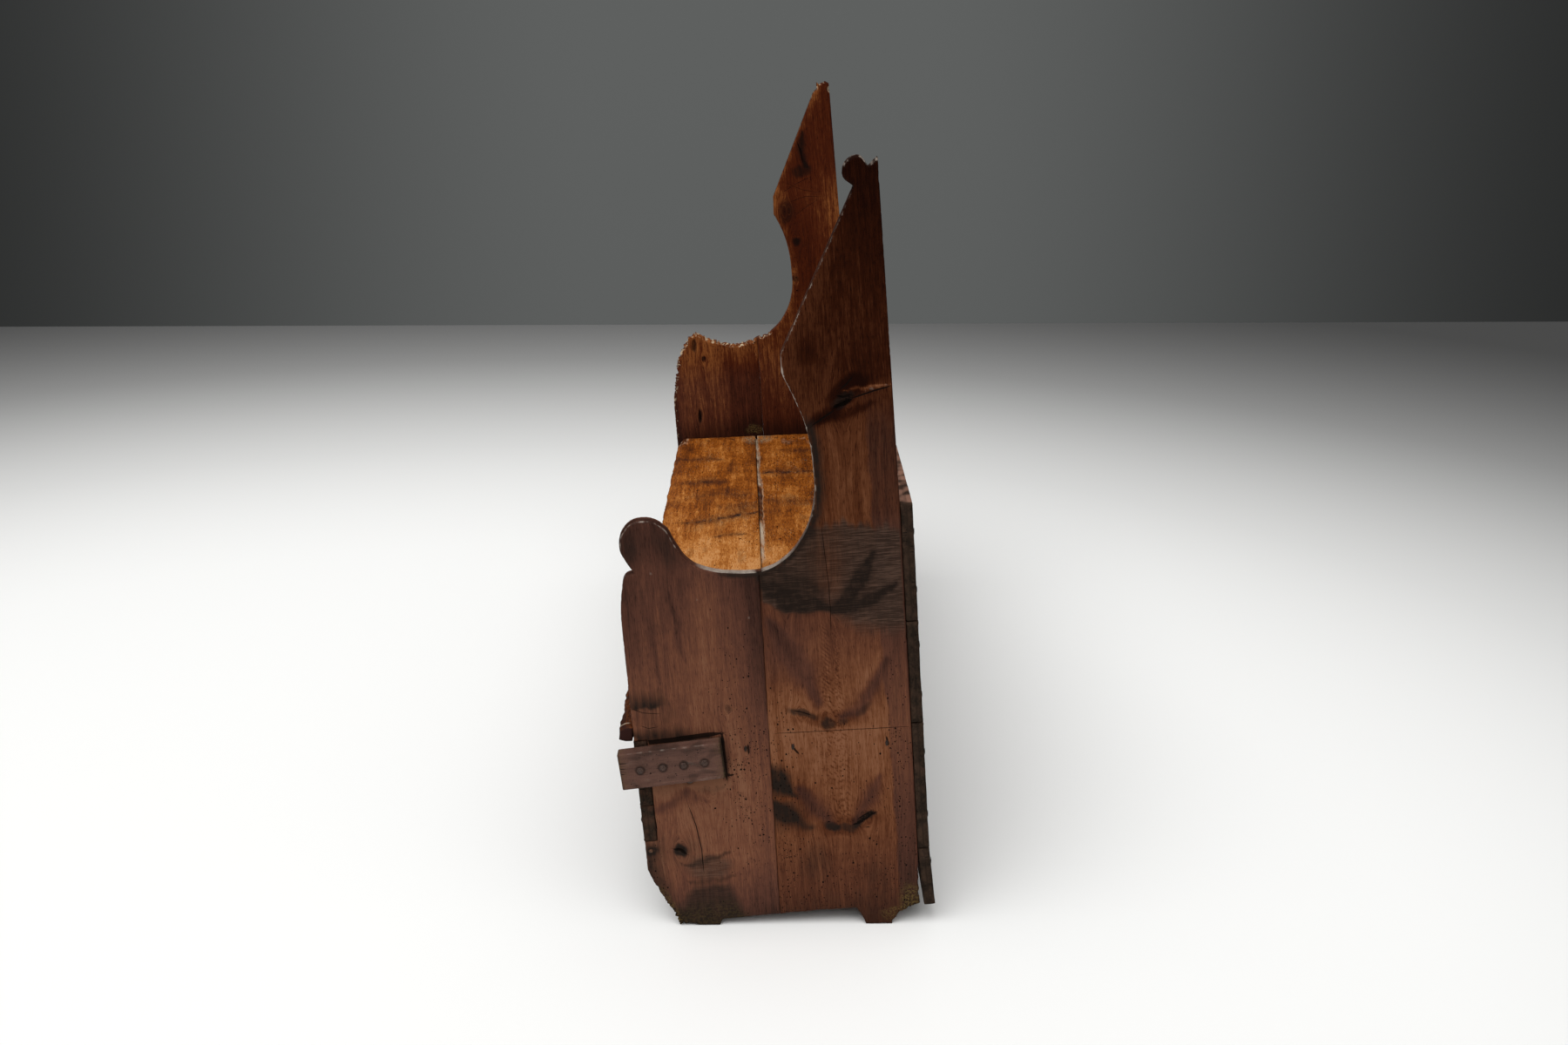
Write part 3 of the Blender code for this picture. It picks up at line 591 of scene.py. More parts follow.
    # Pith with its feather marks, worm along the sapwood, foot stains
    beside = np.abs(y - 0.119 + 0.012 * (0.63 - z))
    pith_run = between(z, 0.42, 0.5, 0.6, 0.64)
    feathers = bell(beside - 0.01, 0.006) * np.sin((z - 0.9 * beside) * 2 * np.pi / 0.0085)
    level -= pith_run * (0.1 * bell(beside, 0.004) + 0.26 * np.maximum(0, feathers))
    dotted = bell(beside - 0.004, 0.02) * between(z, 0.21, 0.24, 0.5, 0.58)
    level -= 0.28 * dotted * rise(np.sin(y * 900) * np.sin(z * 560 + 3 * np.sin(y * 260)), 0.35, 0.75)
    grime_and_shade += 0.38 * fall(z, 0.01, 0.09) + 0.3 * rise(y, 0.2, 0.25) * fall(z, 0.02, 0.14)
    worm = 0.34 * sapwood * fall(z, 0.45, 0.6) + 0.4 * fall(y, 0.012, 0.05) * fall(z, 0.42, 0.58)
    worm += 0.26 * fall(z, 0.08, 0.22) + 0.12 * fall(z, 0.36, 0.46)
    rot = marks_on(y, z, [
        (0.75, patch, (0.242, 0.034), (0.028, 0.042)),
        (0.55, patch, (0.212, 0.01), (0.034, 0.016)),
    ])
    lines = [
        ([(0.15, 1.019), (0.16, 1.022), (0.17, 1.024), (0.184, 1.033)], 0.003),
        ([(0.158, 1.04), (0.168, 1.036), (0.182, 1.04)], 0.0016),
        ([(0.165, 1.052), (0.176, 1.06), (0.186, 1.072)], 0.001),
        ([(0.112, 0.99), (0.132, 1.003), (0.15, 1.014)], 0.0012),
        ([(0.184, 1.034), (0.205, 1.04), (0.228, 1.046), (0.252, 1.051)], 0.0014),
        ([(0.116, 0.8), (0.119, 0.74), (0.122, 0.69), (0.122, 0.64), (0.12, 0.59)], 0.0004),
        ([(0.008, 0.406), (0.09, 0.404), (0.258, 0.401)], 0.0004),
        ([(0.034, 0.38), (0.038, 0.372), (0.046, 0.361)], 0.0017),
        ([(0.21, 0.384), (0.213, 0.366)], 0.0018),
        ([(0.042, 0.45), (0.058, 0.445), (0.074, 0.438)], 0.0009),
        ([(0.138, 0.206), (0.146, 0.208), (0.154, 0.214)], 0.0016),
        ([(0.146, 0.206), (0.158, 0.213), (0.168, 0.221)], 0.0014),
        ([(0.154, 0.214), (0.164, 0.217), (0.172, 0.225), (0.183, 0.229)], 0.002),
        ([(0.148, 0.217), (0.157, 0.223), (0.172, 0.231)], 0.001),
    ]
    return level, np.clip(sap, 0, 1), grime_and_shade, saw, worm, rot, lines


def right_front_face(y, z):
    """Outside of the right end's front plank."""
    # Tone by height, darker towards the top: partly the plank's own tone, partly painted shade as the light
    # falls off upwards
    level = course(z, [
        (0.0, 0.38), (0.03, 0.44), (0.09, 0.68), (0.15, 0.86), (0.33, 0.88), (0.42, 0.8), (0.5, 0.76),
        (0.62, 0.66), (0.72, 0.56), (0.79, 0.42), (0.84, 0.32),
    ])
    level -= 0.36 * rise(y, -0.06, -0.01) * rise(z, 0.4, 0.58)
    level -= 0.14 * rise(y, -0.07, -0.02) * fall(z, 0.4, 0.58)
    level -= 0.14 * fall(y, -0.25, -0.205) * rise(z, 0.5, 0.62)
    level += marks_on(y, z, [
        (0.16, blot, (-0.115, 0.6), (0.036, 0.16)),
        (-0.24, streak, [(-0.166, 0.7), (-0.158, 0.64), (-0.149, 0.56)], 0.007),
        (-0.18, streak, [(-0.215, 0.7), (-0.205, 0.6), (-0.2, 0.52)], 0.01),
        (0.46, patch, (-0.135, 0.314), (0.05, 0.018), -8),
        (0.2, patch, (-0.21, 0.3), (0.028, 0.022), -30),
        (-0.26, streak, [(-0.24, 0.258), (-0.198, 0.276), (-0.168, 0.31)], 0.014),
        (-0.2, streak, [(-0.175, 0.32), (-0.16, 0.29), (-0.13, 0.272)], 0.01),
    ])
    grime_and_shade = 0.75 * fall(y, -0.218, -0.178) * between(z, 0.47, 0.477, 0.482, 0.52)
    grime_and_shade += marks_on(y, z, [
        (0.62, blot, (-0.226, 0.785), (0.016, 0.03)),
        (0.58, blot, (-0.165, 0.785), (0.016, 0.034), 20),
        (1.0, blot, (-0.246, 0.18), (0.009, 0.009)),
        (0.22, patch, (-0.215, 0.462), (0.045, 0.03)),
        # Above the cleat and down its right side the plank is darkened: grime, and painted shade cast by the
        # cleat
        (0.8, streak, [(-0.265, 0.422), (-0.18, 0.41), (-0.094, 0.396)], 0.019),
        (0.6, streak, [(-0.097, 0.402), (-0.093, 0.36), (-0.09, 0.322)], 0.01),
        (0.5, patch, (-0.079, 0.462), (0.007, 0.009)),
        (0.26, streak, [(-0.152, 0.303), (-0.128, 0.295), (-0.098, 0.307)], 0.008),
        (0.26, patch, (-0.168, 0.321), (0.01, 0.008)),
        (0.95, patch, (-0.19, 0.176), (0.015, 0.013), -25),
        (0.3, blot, (-0.18, 0.172), (0.034, 0.03)),
        (0.65, streak, [(-0.185, 0.142), (-0.15, 0.15), (-0.1, 0.165)], 0.007),
        (0.5, streak, [(-0.185, 0.108), (-0.15, 0.106), (-0.095, 0.112)], 0.007),
    ])

    # The foot: a sawn, stained and rotted patch, and a dark front edge
    stain_half = course(z, [(0.0, 0.075), (0.03, 0.07), (0.1, 0.034)])
    stain = fall(np.abs(y + 0.142) - stain_half, -0.016, 0.012) * fall(z, 0.085, 0.108)
    grime_and_shade += 0.76 * stain + 0.28 * fall(z, 0.01, 0.07)
    foot_edge = fall(y - 0.3 * np.maximum(0, 0.12 - z), -0.25, -0.205)
    grime_and_shade += 0.8 * foot_edge * fall(z, 0.14, 0.28)
    saw = np.maximum(0.45 * stain, 0.7 * patch(y, z, (-0.14, 0.135), (0.045, 0.03)))
    worm = 0.62 * bell(y + 0.05, 0.04) * between(z, 0.06, 0.26, 0.38, 0.54)
    worm += 0.1 * bell(y + 0.06, 0.05) * fall(z, 0.56, 0.7)
    worm += 0.3 * fall(y, -0.25, -0.215) * fall(z, 0.18, 0.34)
    rot = 0.5 * patch(y, z, (-0.222, 0.05), (0.018, 0.06), 20) + 0.22 * stain * fall(z, 0.03, 0.08)
    lines = [
        ([(-0.168, 0.27), (-0.157, 0.225), (-0.151, 0.177), (-0.151, 0.124)], 0.0008),
        ([(-0.203, 0.181), (-0.191, 0.176), (-0.18, 0.168)], 0.0026),
        ([(-0.094, 0.331), (-0.086, 0.327), (-0.078, 0.328)], 0.0018),
        ([(-0.255, 0.476), (-0.235, 0.466), (-0.205, 0.462)], 0.0004),
        ([(-0.24, 0.44), (-0.228, 0.434), (-0.212, 0.436)], 0.0003),
        ([(-0.047, 0.387), (-0.047, 0.368)], 0.0019),
        # Dark lines along the cleat's top and right edges: a gap, and painted shade
        ([(-0.264, 0.404), (-0.18, 0.408), (-0.091, 0.415)], 0.0046),
        ([(-0.0935, 0.416), (-0.093, 0.365), (-0.0915, 0.318)], 0.0028),
    ]
    return level, 0 * y, grime_and_shade, saw, worm, rot, lines


def left_front_face(y, z):
    """Inside of the left end's front plank."""
    level = course(z, [
        (0.0, 0.5), (0.4, 0.5), (0.46, 0.54), (0.52, 0.62), (0.6, 0.7), (0.66, 0.78), (0.7, 0.83),
        (0.74, 0.86),
    ])
    level -= 0.26 * rise(y, -0.13, -0.06) * fall(z, 0.62, 0.69)
    level -= 0.25 * fall(y, -0.25, -0.225)
    level += 0.1 * blot(y, z, (-0.105, 0.54), (0.02, 0.06)) + 0.05 * fall(z, 0.48, 0.6)
    grime_and_shade = 0.5 * fall(z, 0.43, 0.51) + marks_on(y, z, [
        (0.9, patch, (-0.16, 0.672), (0.009, 0.01)),
        (0.85, patch, (-0.185, 0.505), (0.007, 0.026)),
        (0.75, patch, (-0.183, 0.712), (0.008, 0.024)),
        (0.4, blot, (-0.03, 0.47), (0.05, 0.03)),
    ])
    worm = np.full(y.shape, 0.03)
    rot = 0.7 * patch(y, z, (-0.03, 0.455), (0.025, 0.016))
    sap = 0.35 * fall(z, 0.58, 0.68)
    return level, sap, grime_and_shade, 0 * y, worm, rot, [([(-0.185, 0.52), (-0.184, 0.49)], 0.0016)]


def left_back_face(y, z):
    """Inside of the left end's back plank."""
    level = course(z, [
        (0.0, 0.45), (0.44, 0.44), (0.52, 0.6), (0.66, 0.74), (0.75, 0.7), (0.9, 0.58), (1.05, 0.51),
        (1.2, 0.5), (1.34, 0.49), (1.42, 0.56),
    ])
    level += 0.26 * fall(y - sweep_edge(z), 0.004, 0.03) * rise(z, 0.74, 0.8)
    level += 0.3 * rise(y, 0.18, 0.23) * rise(z, 0.95, 1.05) * (1 - 0.8 * rise(z, 1.1, 1.22))
    level += marks_on(y, z, [
        (-0.14, blot, (0.12, 1.0), (0.06, 0.16)),
        (0.27, blot, (0.085, 1.115), (0.035, 0.045)),
        (0.16, blot, (0.165, 1.1), (0.03, 0.09)),
    ])
    grime_and_shade = 0.6 * fall(z, 0.43, 0.5) + marks_on(y, z, [
        (0.95, patch, (0.129, 0.989), (0.012, 0.016)),
        (0.62, patch, (0.106, 1.075), (0.022, 0.04), -10),
        (0.95, streak, [(0.164, 1.29), (0.158, 1.24), (0.17, 1.19)], 0.011),
        (0.7, patch, (0.156, 1.182), (0.03, 0.02)),
        (0.6, patch, (0.116, 0.886), (0.013, 0.012)),
    ])
    worm = np.full(y.shape, 0.03)
    lines = [
        ([(0.148, 1.262), (0.156, 1.236), (0.16, 1.205)], 0.0014),
        ([(0.1, 1.128), (0.14, 1.15), (0.18, 1.165)], 0.0003),
        ([(0.112, 1.152), (0.15, 1.132), (0.196, 1.12)], 0.0003),
        ([(0.12, 1.1), (0.16, 1.112), (0.205, 1.108)], 0.0003),
        ([(0.13, 1.062), (0.165, 1.085), (0.19, 1.098)], 0.0003),
    ]
    sap = 0.18 * fall(z, 0.6, 0.72)
    return level, sap, grime_and_shade, 0 * y, worm, 0 * y, lines


def hidden_face(y, z):
    """A guessed face of an end plank, for the sides turned away: smoky, wormed and knotty."""
    level = course(z, [
        (0.0, 0.4), (0.06, 0.58), (0.16, 0.74), (0.44, 0.8), (0.8, 0.66), (1.1, 0.46), (1.45, 0.26),
    ])
    level -= 0.16 * fall(np.abs(y + 0.01), 0.01, 0.045) + 0.12 * rise(np.abs(y), 0.205, 0.25)
    level += marks_on(y, z, [
        (0.12, blot, (0.12, 0.38), (0.05, 0.3)),
        (0.1, blot, (-0.14, 0.38), (0.04, 0.24)),
        (-0.28, streak, [(0.045, 0.74), (0.085, 0.69), (0.118, 0.645)], 0.02),
        (-0.28, streak, [(0.122, 0.645), (0.16, 0.68), (0.205, 0.75)], 0.017),
        (-0.26, streak, [(0.11, 0.33), (0.145, 0.28), (0.17, 0.25)], 0.018),
        (-0.24, streak, [(-0.2, 0.59), (-0.165, 0.55), (-0.132, 0.522)], 0.014),
    ])
    grime_and_shade = 0.34 * fall(z, 0.01, 0.1) + marks_on(y, z, [
        (0.92, patch, (0.12, 0.64), (0.018, 0.011), 12),
        (0.85, patch, (-0.13, 0.52), (0.014, 0.01), -18),
        (0.85, patch, (0.17, 0.25), (0.019, 0.011), 15),
        (0.55, blot, (-0.18, 0.11), (0.045, 0.05)),
        (0.4, blot, (0.08, 0.12), (0.05, 0.04)),
        (0.35, blot, (0.15, 0.9), (0.03, 0.08)),
        (0.4, blot, (-0.02, 0.56), (0.03, 0.06)),
    ])
    worm = 0.3 * fall(z, 0.2, 0.5) + 0.35 * bell(y + 0.04, 0.04) * fall(z, 0.45, 0.62)
    rot = marks_on(y, z, [
        (0.8, patch, (0.24, 0.03), (0.024, 0.036)),
        (0.6, patch, (-0.215, 0.03), (0.02, 0.04)),
    ])
    lines = [
        ([(0.06, 0.3), (0.066, 0.16), (0.06, 0.02)], 0.0006),
        ([(0.15, 0.88), (0.146, 0.76), (0.15, 0.69)], 0.0004),
        ([(-0.16, 0.42), (-0.152, 0.33), (-0.156, 0.26)], 0.0006),
        ([(0.108, 0.636), (0.12, 0.641), (0.134, 0.645)], 0.0014),
        ([(0.158, 0.247), (0.17, 0.251), (0.182, 0.255)], 0.0014),
    ]
    return level, 0 * y + 1, grime_and_shade, 0 * y, worm, rot, lines


# Knots: place across and along the plank, size, and how many times longer than wide
RIGHT_BACK_KNOTS = [
    (0.057, 0.445, 0.012, 1.6), (0.104, 0.426, 0.014, 1.8), (0.163, 0.22, 0.016, 1.7),
    (0.097, 0.211, 0.012, 1.7), (0.17, 1.03, 0.02, 1.8), (0.138, 0.655, 0.016, 2.0),
    (0.04, 0.665, 0.014, 2.0),
]
RIGHT_FRONT_KNOTS = [(-0.19, 0.176, 0.015, 1.8), (-0.125, 0.3, 0.014, 2.2), (-0.079, 0.462, 0.007, 2.0)]
LEFT_FRONT_KNOTS = [(-0.16, 0.672, 0.009, 1.8), (-0.185, 0.505, 0.009, 2.4)]
LEFT_BACK_KNOTS = [(0.129, 0.989, 0.014, 1.7), (0.106, 1.075, 0.017, 1.8), (0.16, 1.225, 0.013, 2.5),
                   (0.116, 0.886, 0.011, 1.8)]
HIDDEN_KNOTS = [(0.12, 0.64, 0.012, 1.8), (-0.13, 0.52, 0.011, 1.8), (0.17, 0.25, 0.013, 1.8)]


def on_joint(places):
    """1 beside the joint between an end's two planks, 0 away from it."""
    joint = course(places[:, 2], [(0.0, -0.013), (0.722, -0.002)])
    return bell(places[:, 1] - joint, 0.006)


def right_dents(y, z):
    """Hollows and ridges on the outside of the right end: the spike knot's gash, and a knot hole."""
    gash = patch(y, z, (0.167, 1.024), (0.02, 0.0055), 22)
    gash += 0.6 * patch(y, z, (0.17, 1.038), (0.014, 0.006), 10)
    ridge = streak(y, z, [(0.185, 1.043), (0.222, 1.05), (0.256, 1.056)], 0.005)
    hole = patch(y, z, (-0.19, 0.177), (0.009, 0.007), -25)
    return 0.0016 * ridge - 0.0065 * gash - 0.0045 * hole


def left_dents(y, z):
    """Slits and hollows on the inside of the left end."""
    slit = patch(y, z, (-0.185, 0.505), (0.005, 0.024))
    feather = patch(y, z, (-0.183, 0.712), (0.006, 0.02))
    return -0.004 * slit - 0.004 * feather


def sweep_edge(z):
    """Depth of the hollow sweep that rises from the arm to the wing, at a height."""
    return course(z, [
        (0.72, 0.0), (0.8, 0.08), (0.9, 0.108), (1.0, 0.098), (1.09, 0.064), (1.12, 0.064),
        (1.4, 0.205),
    ])


# Ripples: height, pitch along each axis, and seed
PLANK_SWELLS = ((0.0007, (0.05, 0.045, 0.3), 3.1), (0.0003, (0.05, 0.012, 0.1), 8.7))
PLANK_DRIFT_Y = ((0.005, (0.1, 0.03, 0.045), 12.3), (0.002, (0.1, 0.008, 0.014), 7.9))
PLANK_DRIFT_Z = ((0.008, (0.1, 0.024, 0.06), 15.8), (0.003, (0.1, 0.007, 0.016), 2.6))
BITE_REACH = 0.01


def wear_end_plank(name, node, side, faces, knots, radius_of, bite_of, rim_of, dents):
    """One end plank, eased and bitten along its sawn edges, with its two faces painted."""
    board = fine_board(name, node, PLANK_CELL, LEANING)
    places = places_of(board)
    middle = side * PLANK_MIDDLE
    outward = np.where((places[:, 0] - middle) * side > 0, 1.0, -1.0)
    below_face = PLANK_THICK / 2 - np.abs(places[:, 0] - middle)
    outline = sawn_outline(node, middle + side * OUTLINE_CUT)
    below_edge, inward = outline_depth(places[:, 1:], outline)
    y, z = places[:, 1:].T.copy()
    jointed = on_joint(places)
    on_face = rise(below_edge, 0.001, 0.004) * fall(below_face, 0.0005, 0.003)

    radius = radius_of(places) * (1 - 0.85 * jointed)
    eased_face, eased_edge = ease_edges((below_face, below_edge), radius)
    bite = bite_of(places) * bell(below_edge, BITE_REACH) * (1 - jointed)
    swell = swells(places, PLANK_SWELLS) + dents(y, z) * (outward * side > 0)
    # Pale rims: wear and raw wood, with painted highlights and glints along them
    wear_and_highlight = rim_of(places, below_face, below_edge, outward) * (1 - jointed)
    # On the right end's outside, a band below the arm's sawn edge and a thin line under the rim of the dip
    # are darkened
    darkened_edge = bell(below_edge - 0.006, 0.011) * between(z, 0.76, 0.82, 0.98, 1.02)
    dip_line = bell(below_edge - 0.002, 0.004) * between(z, 0.7, 0.715, 0.76, 0.82)
    darkened_edge = darkened_edge + 1.1 * dip_line * rise(y, -0.1, -0.07)
    places[:, 0] = middle + side * outward * (PLANK_THICK / 2 - eased_face + swell * on_face)
    places[:, 1:] += inward * (eased_edge - below_edge + bite)[:, None]

    # Marks are painted at shifted places, so that their outlines aren't too even
    drift_y = y + swells(places, PLANK_DRIFT_Y)
    drift_z = z + swells(places, PLANK_DRIFT_Z)
    outer = outward > 0
    *outer_layers, outer_lines = faces[0](drift_y, drift_z)
    *inner_layers, inner_lines = faces[1](drift_y, drift_z)
    layers = [np.where(outer, *pair) for pair in zip(outer_layers, inner_layers)]
    level, sap, grime_and_shade, saw, worm, rot = layers
    drawn = zip(cracks(y, z, outer_lines), cracks(y, z, inner_lines))
    crack = [np.where(outer, *pair) for pair in drawn]
    across = np.where(outer, grain_round(y, z, knots[0]), grain_round(y, z, knots[1]) + 0.7)
    paint(board, "grain", across, z, places[:, 0])
    grime_and_shade += 0.95 * darkened_edge * (outer if side > 0 else 0) * between(y, -0.1, -0.05, 0.15, 0.2)
    paint(board, "tone", level, np.clip(grime_and_shade, 0, 1), wear_and_highlight)
    paint(board, "sap", sap, 0, 0)
    paint(board, "marks", saw * on_face, worm * on_face, np.clip(rot, 0, 1))
    paint(board, "crack", crack[0], crack[1] * on_face, crack[2])
    set_back(board, places, LEANING)
    return board


def soft_edges(places):
    """Edges rounded by hands and wear: most of all along the arms, least at the back."""
    y, z = places[:, 1:].T
    base = 0.0022 + 0.0009 * ripple(places, (0.05, 0.04, 0.04), 1.7)
    arm = between(z, 0.6, 0.72, 0.84, 0.95) * fall(y, 0.02, 0.09)
    scroll = rise(z, 0.76, 0.8) * fall(y, -0.14, -0.09)
    foot = fall(z, 0.02, 0.12)
    return np.maximum(0.001, base + 0.002 * arm + 0.004 * scroll + 0.0018 * foot)


def gnawed_edges(places):
    """Edges of the left end, gnawed thin along the top of its broken arm."""
    y, z = places[:, 1:].T
    gnawed = rise(z, 0.6, 0.68) * fall(y, 0.01, 0.05) * fall(z, 0.8, 0.9)
    raw = np.abs(ripple(places, (0.02, 0.01, 0.01), 9.3))
    return soft_edges(places) + gnawed * (0.002 + 0.009 * raw)


def small_bites(places):
    """Nicks along a sawn edge, and the frayed bottoms of the feet."""
    y = places[:, 1]
    nick = np.maximum(0, ripple(places, (0.03, 0.022, 0.022), 4.2) - 0.35)
    fine = np.maximum(0, ripple(places, (0.02, 0.007, 0.007), 6.4) - 0.3)
    low = fall(places[:, 2], 0.02, 0.14)
    frayed = low * (rise(-y, 0.16, 0.2) + 0.5 * rise(y, 0.19, 0.23))
    coarse_fray = np.abs(ripple(places, (0.03, 0.012, 0.012), 2.2))
    fine_fray = np.abs(ripple(places, (0.01, 0.005, 0.005), 1.1))
    return 0.0035 * nick + 0.0016 * fine + frayed * 0.016 * (coarse_fray + 0.5 * fine_fray)


def gnawed_bites(places):
    """Tooth-marked hollows along the broken left arm, and splinters at its broken crest."""
    y, z = places[:, 1:].T
    gnawed = rise(z, 0.52, 0.6) * fall(y, 0.02, 0.05) * fall(z, 0.8, 0.9)
    teeth = np.abs(ripple(places, (0.05, 0.012, 0.012), 7.7))
    small_teeth = np.abs(ripple(places, (0.02, 0.005, 0.005), 2.9))
    splinter = rise(z, 1.385, 1.4) * np.abs(ripple(places, (0.012, 0.004, 0.02), 3.3))
    return small_bites(places) + 0.013 * gnawed * (teeth + 0.6 * small_teeth) + 0.008 * splinter


def right_rim(places, below_face, below_edge, outward):
    """Pale polish with painted highlights on the sawn edge of the right end's dip and sweep and on its broken
    crest, along the scroll's arris, the knot's ridge and at a few nicks.
    """
    y, z = places[:, 1:].T
    on_edge = fall(below_edge, 0.0006, 0.0024)
    dots = np.clip(0.5 + 1.4 * ripple(places, (0.05, 0.006, 0.009), 5.5), 0, 1)
    dip = rise(y, -0.135, -0.095) * between(z, 0.7, 0.715, 0.86, 0.95) * fall(y, 0.11, 0.14)
    dip_floor = fall(z, 0.725, 0.775)
    arris = bell(below_face, 0.0025) * bell(below_edge, 0.0025) * (outward > 0)
    sweep = bell(y - sweep_edge(z), 0.018) * between(z, 0.76, 0.84, 1.36, 1.42)
    scroll = fall(y, -0.13, -0.09) * rise(z, 0.76, 0.79)
    crest = rise(z, 1.425, 1.435)
    ridge = (outward > 0) * streak(y, z, [(0.196, 1.044), (0.224, 1.05), (0.256, 1.056)], 0.003) * dots
    near_side = (outward > 0) * fall(below_face, 0.002, 0.006)
    polish_and_highlight = course(z, [(0.76, 0.8), (0.95, 1.05), (1.08, 1.0), (1.16, 0.65), (1.4, 0.5)])
    far_part = np.where(outward > 0, rise(below_face, 0.003, 0.007), 1.0)
    edge = dip * far_part * (0.34 + 0.26 * dip_floor + 0.1 * dots)
    edge += polish_and_highlight * sweep * near_side * (0.4 + 0.6 * dots)
    edge += 0.7 * crest * dots
    nicks = (outward > 0) * marks_on(y, z, [
        (1.0, blot, (-0.195, 0.737), (0.003, 0.002)),
        (1.0, blot, (-0.116, 0.681), (0.0026, 0.002)),
        (1.0, blot, (-0.026, 0.639), (0.002, 0.0026)),
        (1.5, blot, (0.064, 1.09), (0.004, 0.007)),
    ])
    return on_edge * edge + 0.7 * arris * scroll * (0.35 + 0.65 * dots) + 0.4 * ridge + 0.6 * nicks


def left_rim(places, below_face, below_edge, outward):
    """Raw pale crumbs with painted glints along the gnawed arm of the left end, and a lighter edge of pale
    crust and painted glints up its sweep and crest.
    """
    y, z = places[:, 1:].T
    on_edge = fall(below_edge, 0.003, 0.009)
    gnawed = rise(z, 0.6, 0.68) * fall(y, 0.02, 0.05) * fall(z, 0.8, 0.9)
    pale_bits = rise(ripple(places, (0.006, 0.006, 0.006), 6.1), 0.05, 0.3)
    thin_edge = fall(below_edge, 0.001, 0.003)
    dots = rise(ripple(places, (0.02, 0.008, 0.01), 4.5), 0.05, 0.35)
    crest = rise(z, 1.36, 1.4)
    front_edge = fall(y, -0.2, -0.18) * between(z, 0.43, 0.46, 0.62, 0.68)
    front_edge = front_edge * fall(below_edge, 0.004, 0.012) * (outward < 0)
    gnawed = on_edge * gnawed * (0.12 + 0.78 * pale_bits) + 0.6 * front_edge * pale_bits
    return gnawed + thin_edge * dots * (0.24 * rise(z, 0.9, 1.0) + 0.5 * crest)


end_planks = [
    ("right_end_front", "right_end_front_plank", 1, (right_front_face, hidden_face),
     (RIGHT_FRONT_KNOTS, HIDDEN_KNOTS), soft_edges, small_bites, right_rim, right_dents, purple_wood),
    ("right_end_back", "right_end_back_plank", 1, (right_back_face, hidden_face),
     (RIGHT_BACK_KNOTS, HIDDEN_KNOTS), soft_edges, small_bites, right_rim, right_dents, heart_wood),
    ("left_end_front", "left_end_front_plank", -1, (hidden_face, left_front_face),
     (HIDDEN_KNOTS, LEFT_FRONT_KNOTS), gnawed_edges, gnawed_bites, left_rim, left_dents, waxed_wood),
    ("left_end_back", "left_end_back_plank", -1, (hidden_face, left_back_face),
     (HIDDEN_KNOTS, LEFT_BACK_KNOTS), gnawed_edges, gnawed_bites, left_rim, left_dents, waxed_wood),
]
for name, node, side, faces, knots, radius_of, bite_of, rim_of, dents, wood in end_planks:
    plank = wear_end_plank(name, node, side, faces, knots, radius_of, bite_of, rim_of, dents)
    plank.data.materials.append(wood)
    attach(plank, "root")
    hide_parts(node)

# Seat
# Two pine boards, the front one lapped over the back one, nailed down to the bearers. Years of use have
# polished them orange, worn the nose away and broken the joint open into a slot of pale raw wood.
SEAT_PITCH = math.radians(1.8)
SEAT_HEIGHT = 0.44
SEAT_CELL = 0.0037
SEAT_SETTING = LEANING @ Matrix.Translation((0, FRONT, SEAT_HEIGHT)) @ Matrix.Rotation(-SEAT_PITCH, 4, "X")
SEAT_TONES = [
    (0.0, (0.05, 0.013, 0.004)),
    (0.25, (0.13, 0.034, 0.0062)),
    (0.5, (0.26, 0.068, 0.0062)),
    (0.8, (0.45, 0.165, 0.033)),
    (1.0, (0.56, 0.255, 0.085)),
]
SEAT_GRIME_AND_SHADE = (0.027, 0.0095, 0.0075)
SEAT_WORN = (0.52, 0.42, 0.31)
SEAT_ROT = (0.23, 0.2, 0.125)
seat_wood = aged_wood("polished_orange_pine", SEAT_TONES, SEAT_GRIME_AND_SHADE, SEAT_WORN, SEAT_ROT, 0.42, 0.08,
                      contrast=1.1, run=0.45, specks=0.24, holes=1.3)
SEAT_KNOTS = [
    (0.165, -0.25, 0.014, 1.5), (0.13, -0.53, 0.012, 1.6), (0.33, -0.585, 0.014, 1.6),
    (0.19, -0.08, 0.01, 1.6), (0.11, -0.74, 0.012, 1.6), (0.36, 0.4, 0.014, 1.6),
    (0.15, 0.62, 0.012, 1.6),
]
# Scuffs: a line of (depth, length) points on the seat, width, and strength
SEAT_SCUFFS = [
    ([(0.055, -0.19), (0.11, -0.208), (0.165, -0.225), (0.235, -0.25)], 0.034, 0.75),
    ([(0.04, -0.521), (0.09, -0.53), (0.15, -0.52)], 0.036, 0.6),
    ([(0.242, -0.58), (0.31, -0.59), (0.4, -0.58)], 0.034, 0.75),
    ([(0.025, -0.745), (0.075, -0.74), (0.13, -0.731)], 0.032, 0.55),
    ([(0.134, -0.073), (0.17, -0.09), (0.204, -0.084)], 0.016, 0.65),
    ([(0.06, -0.4), (0.13, -0.42), (0.21, -0.4)], 0.05, 0.35),
    ([(0.247, -0.349), (0.31, -0.33), (0.4, -0.289)], 0.045, 0.4),
    ([(0.3, -0.8), (0.35, -0.79), (0.41, -0.8)], 0.034, 0.45),
    ([(0.05, 0.6), (0.12, 0.62), (0.2, 0.6)], 0.02, 0.5),
    ([(0.3, 0.4), (0.37, 0.41), (0.44, 0.4)], 0.02, 0.45),
]
SEAT_SWELLS = ((0.0009, (0.16, 0.05, 0.05), 1.3), (0.0005, (0.035, 0.015, 0.05), 4.4))
SEAT_DRIFT_S = ((0.01, (0.05, 0.05, 1.0), 12.0), (0.004, (0.012, 0.012, 1.0), 3.0))
SEAT_DRIFT_X = ((0.012, (0.08, 0.04, 1.0), 17.0), (0.006, (0.03, 0.01, 1.0), 5.0))
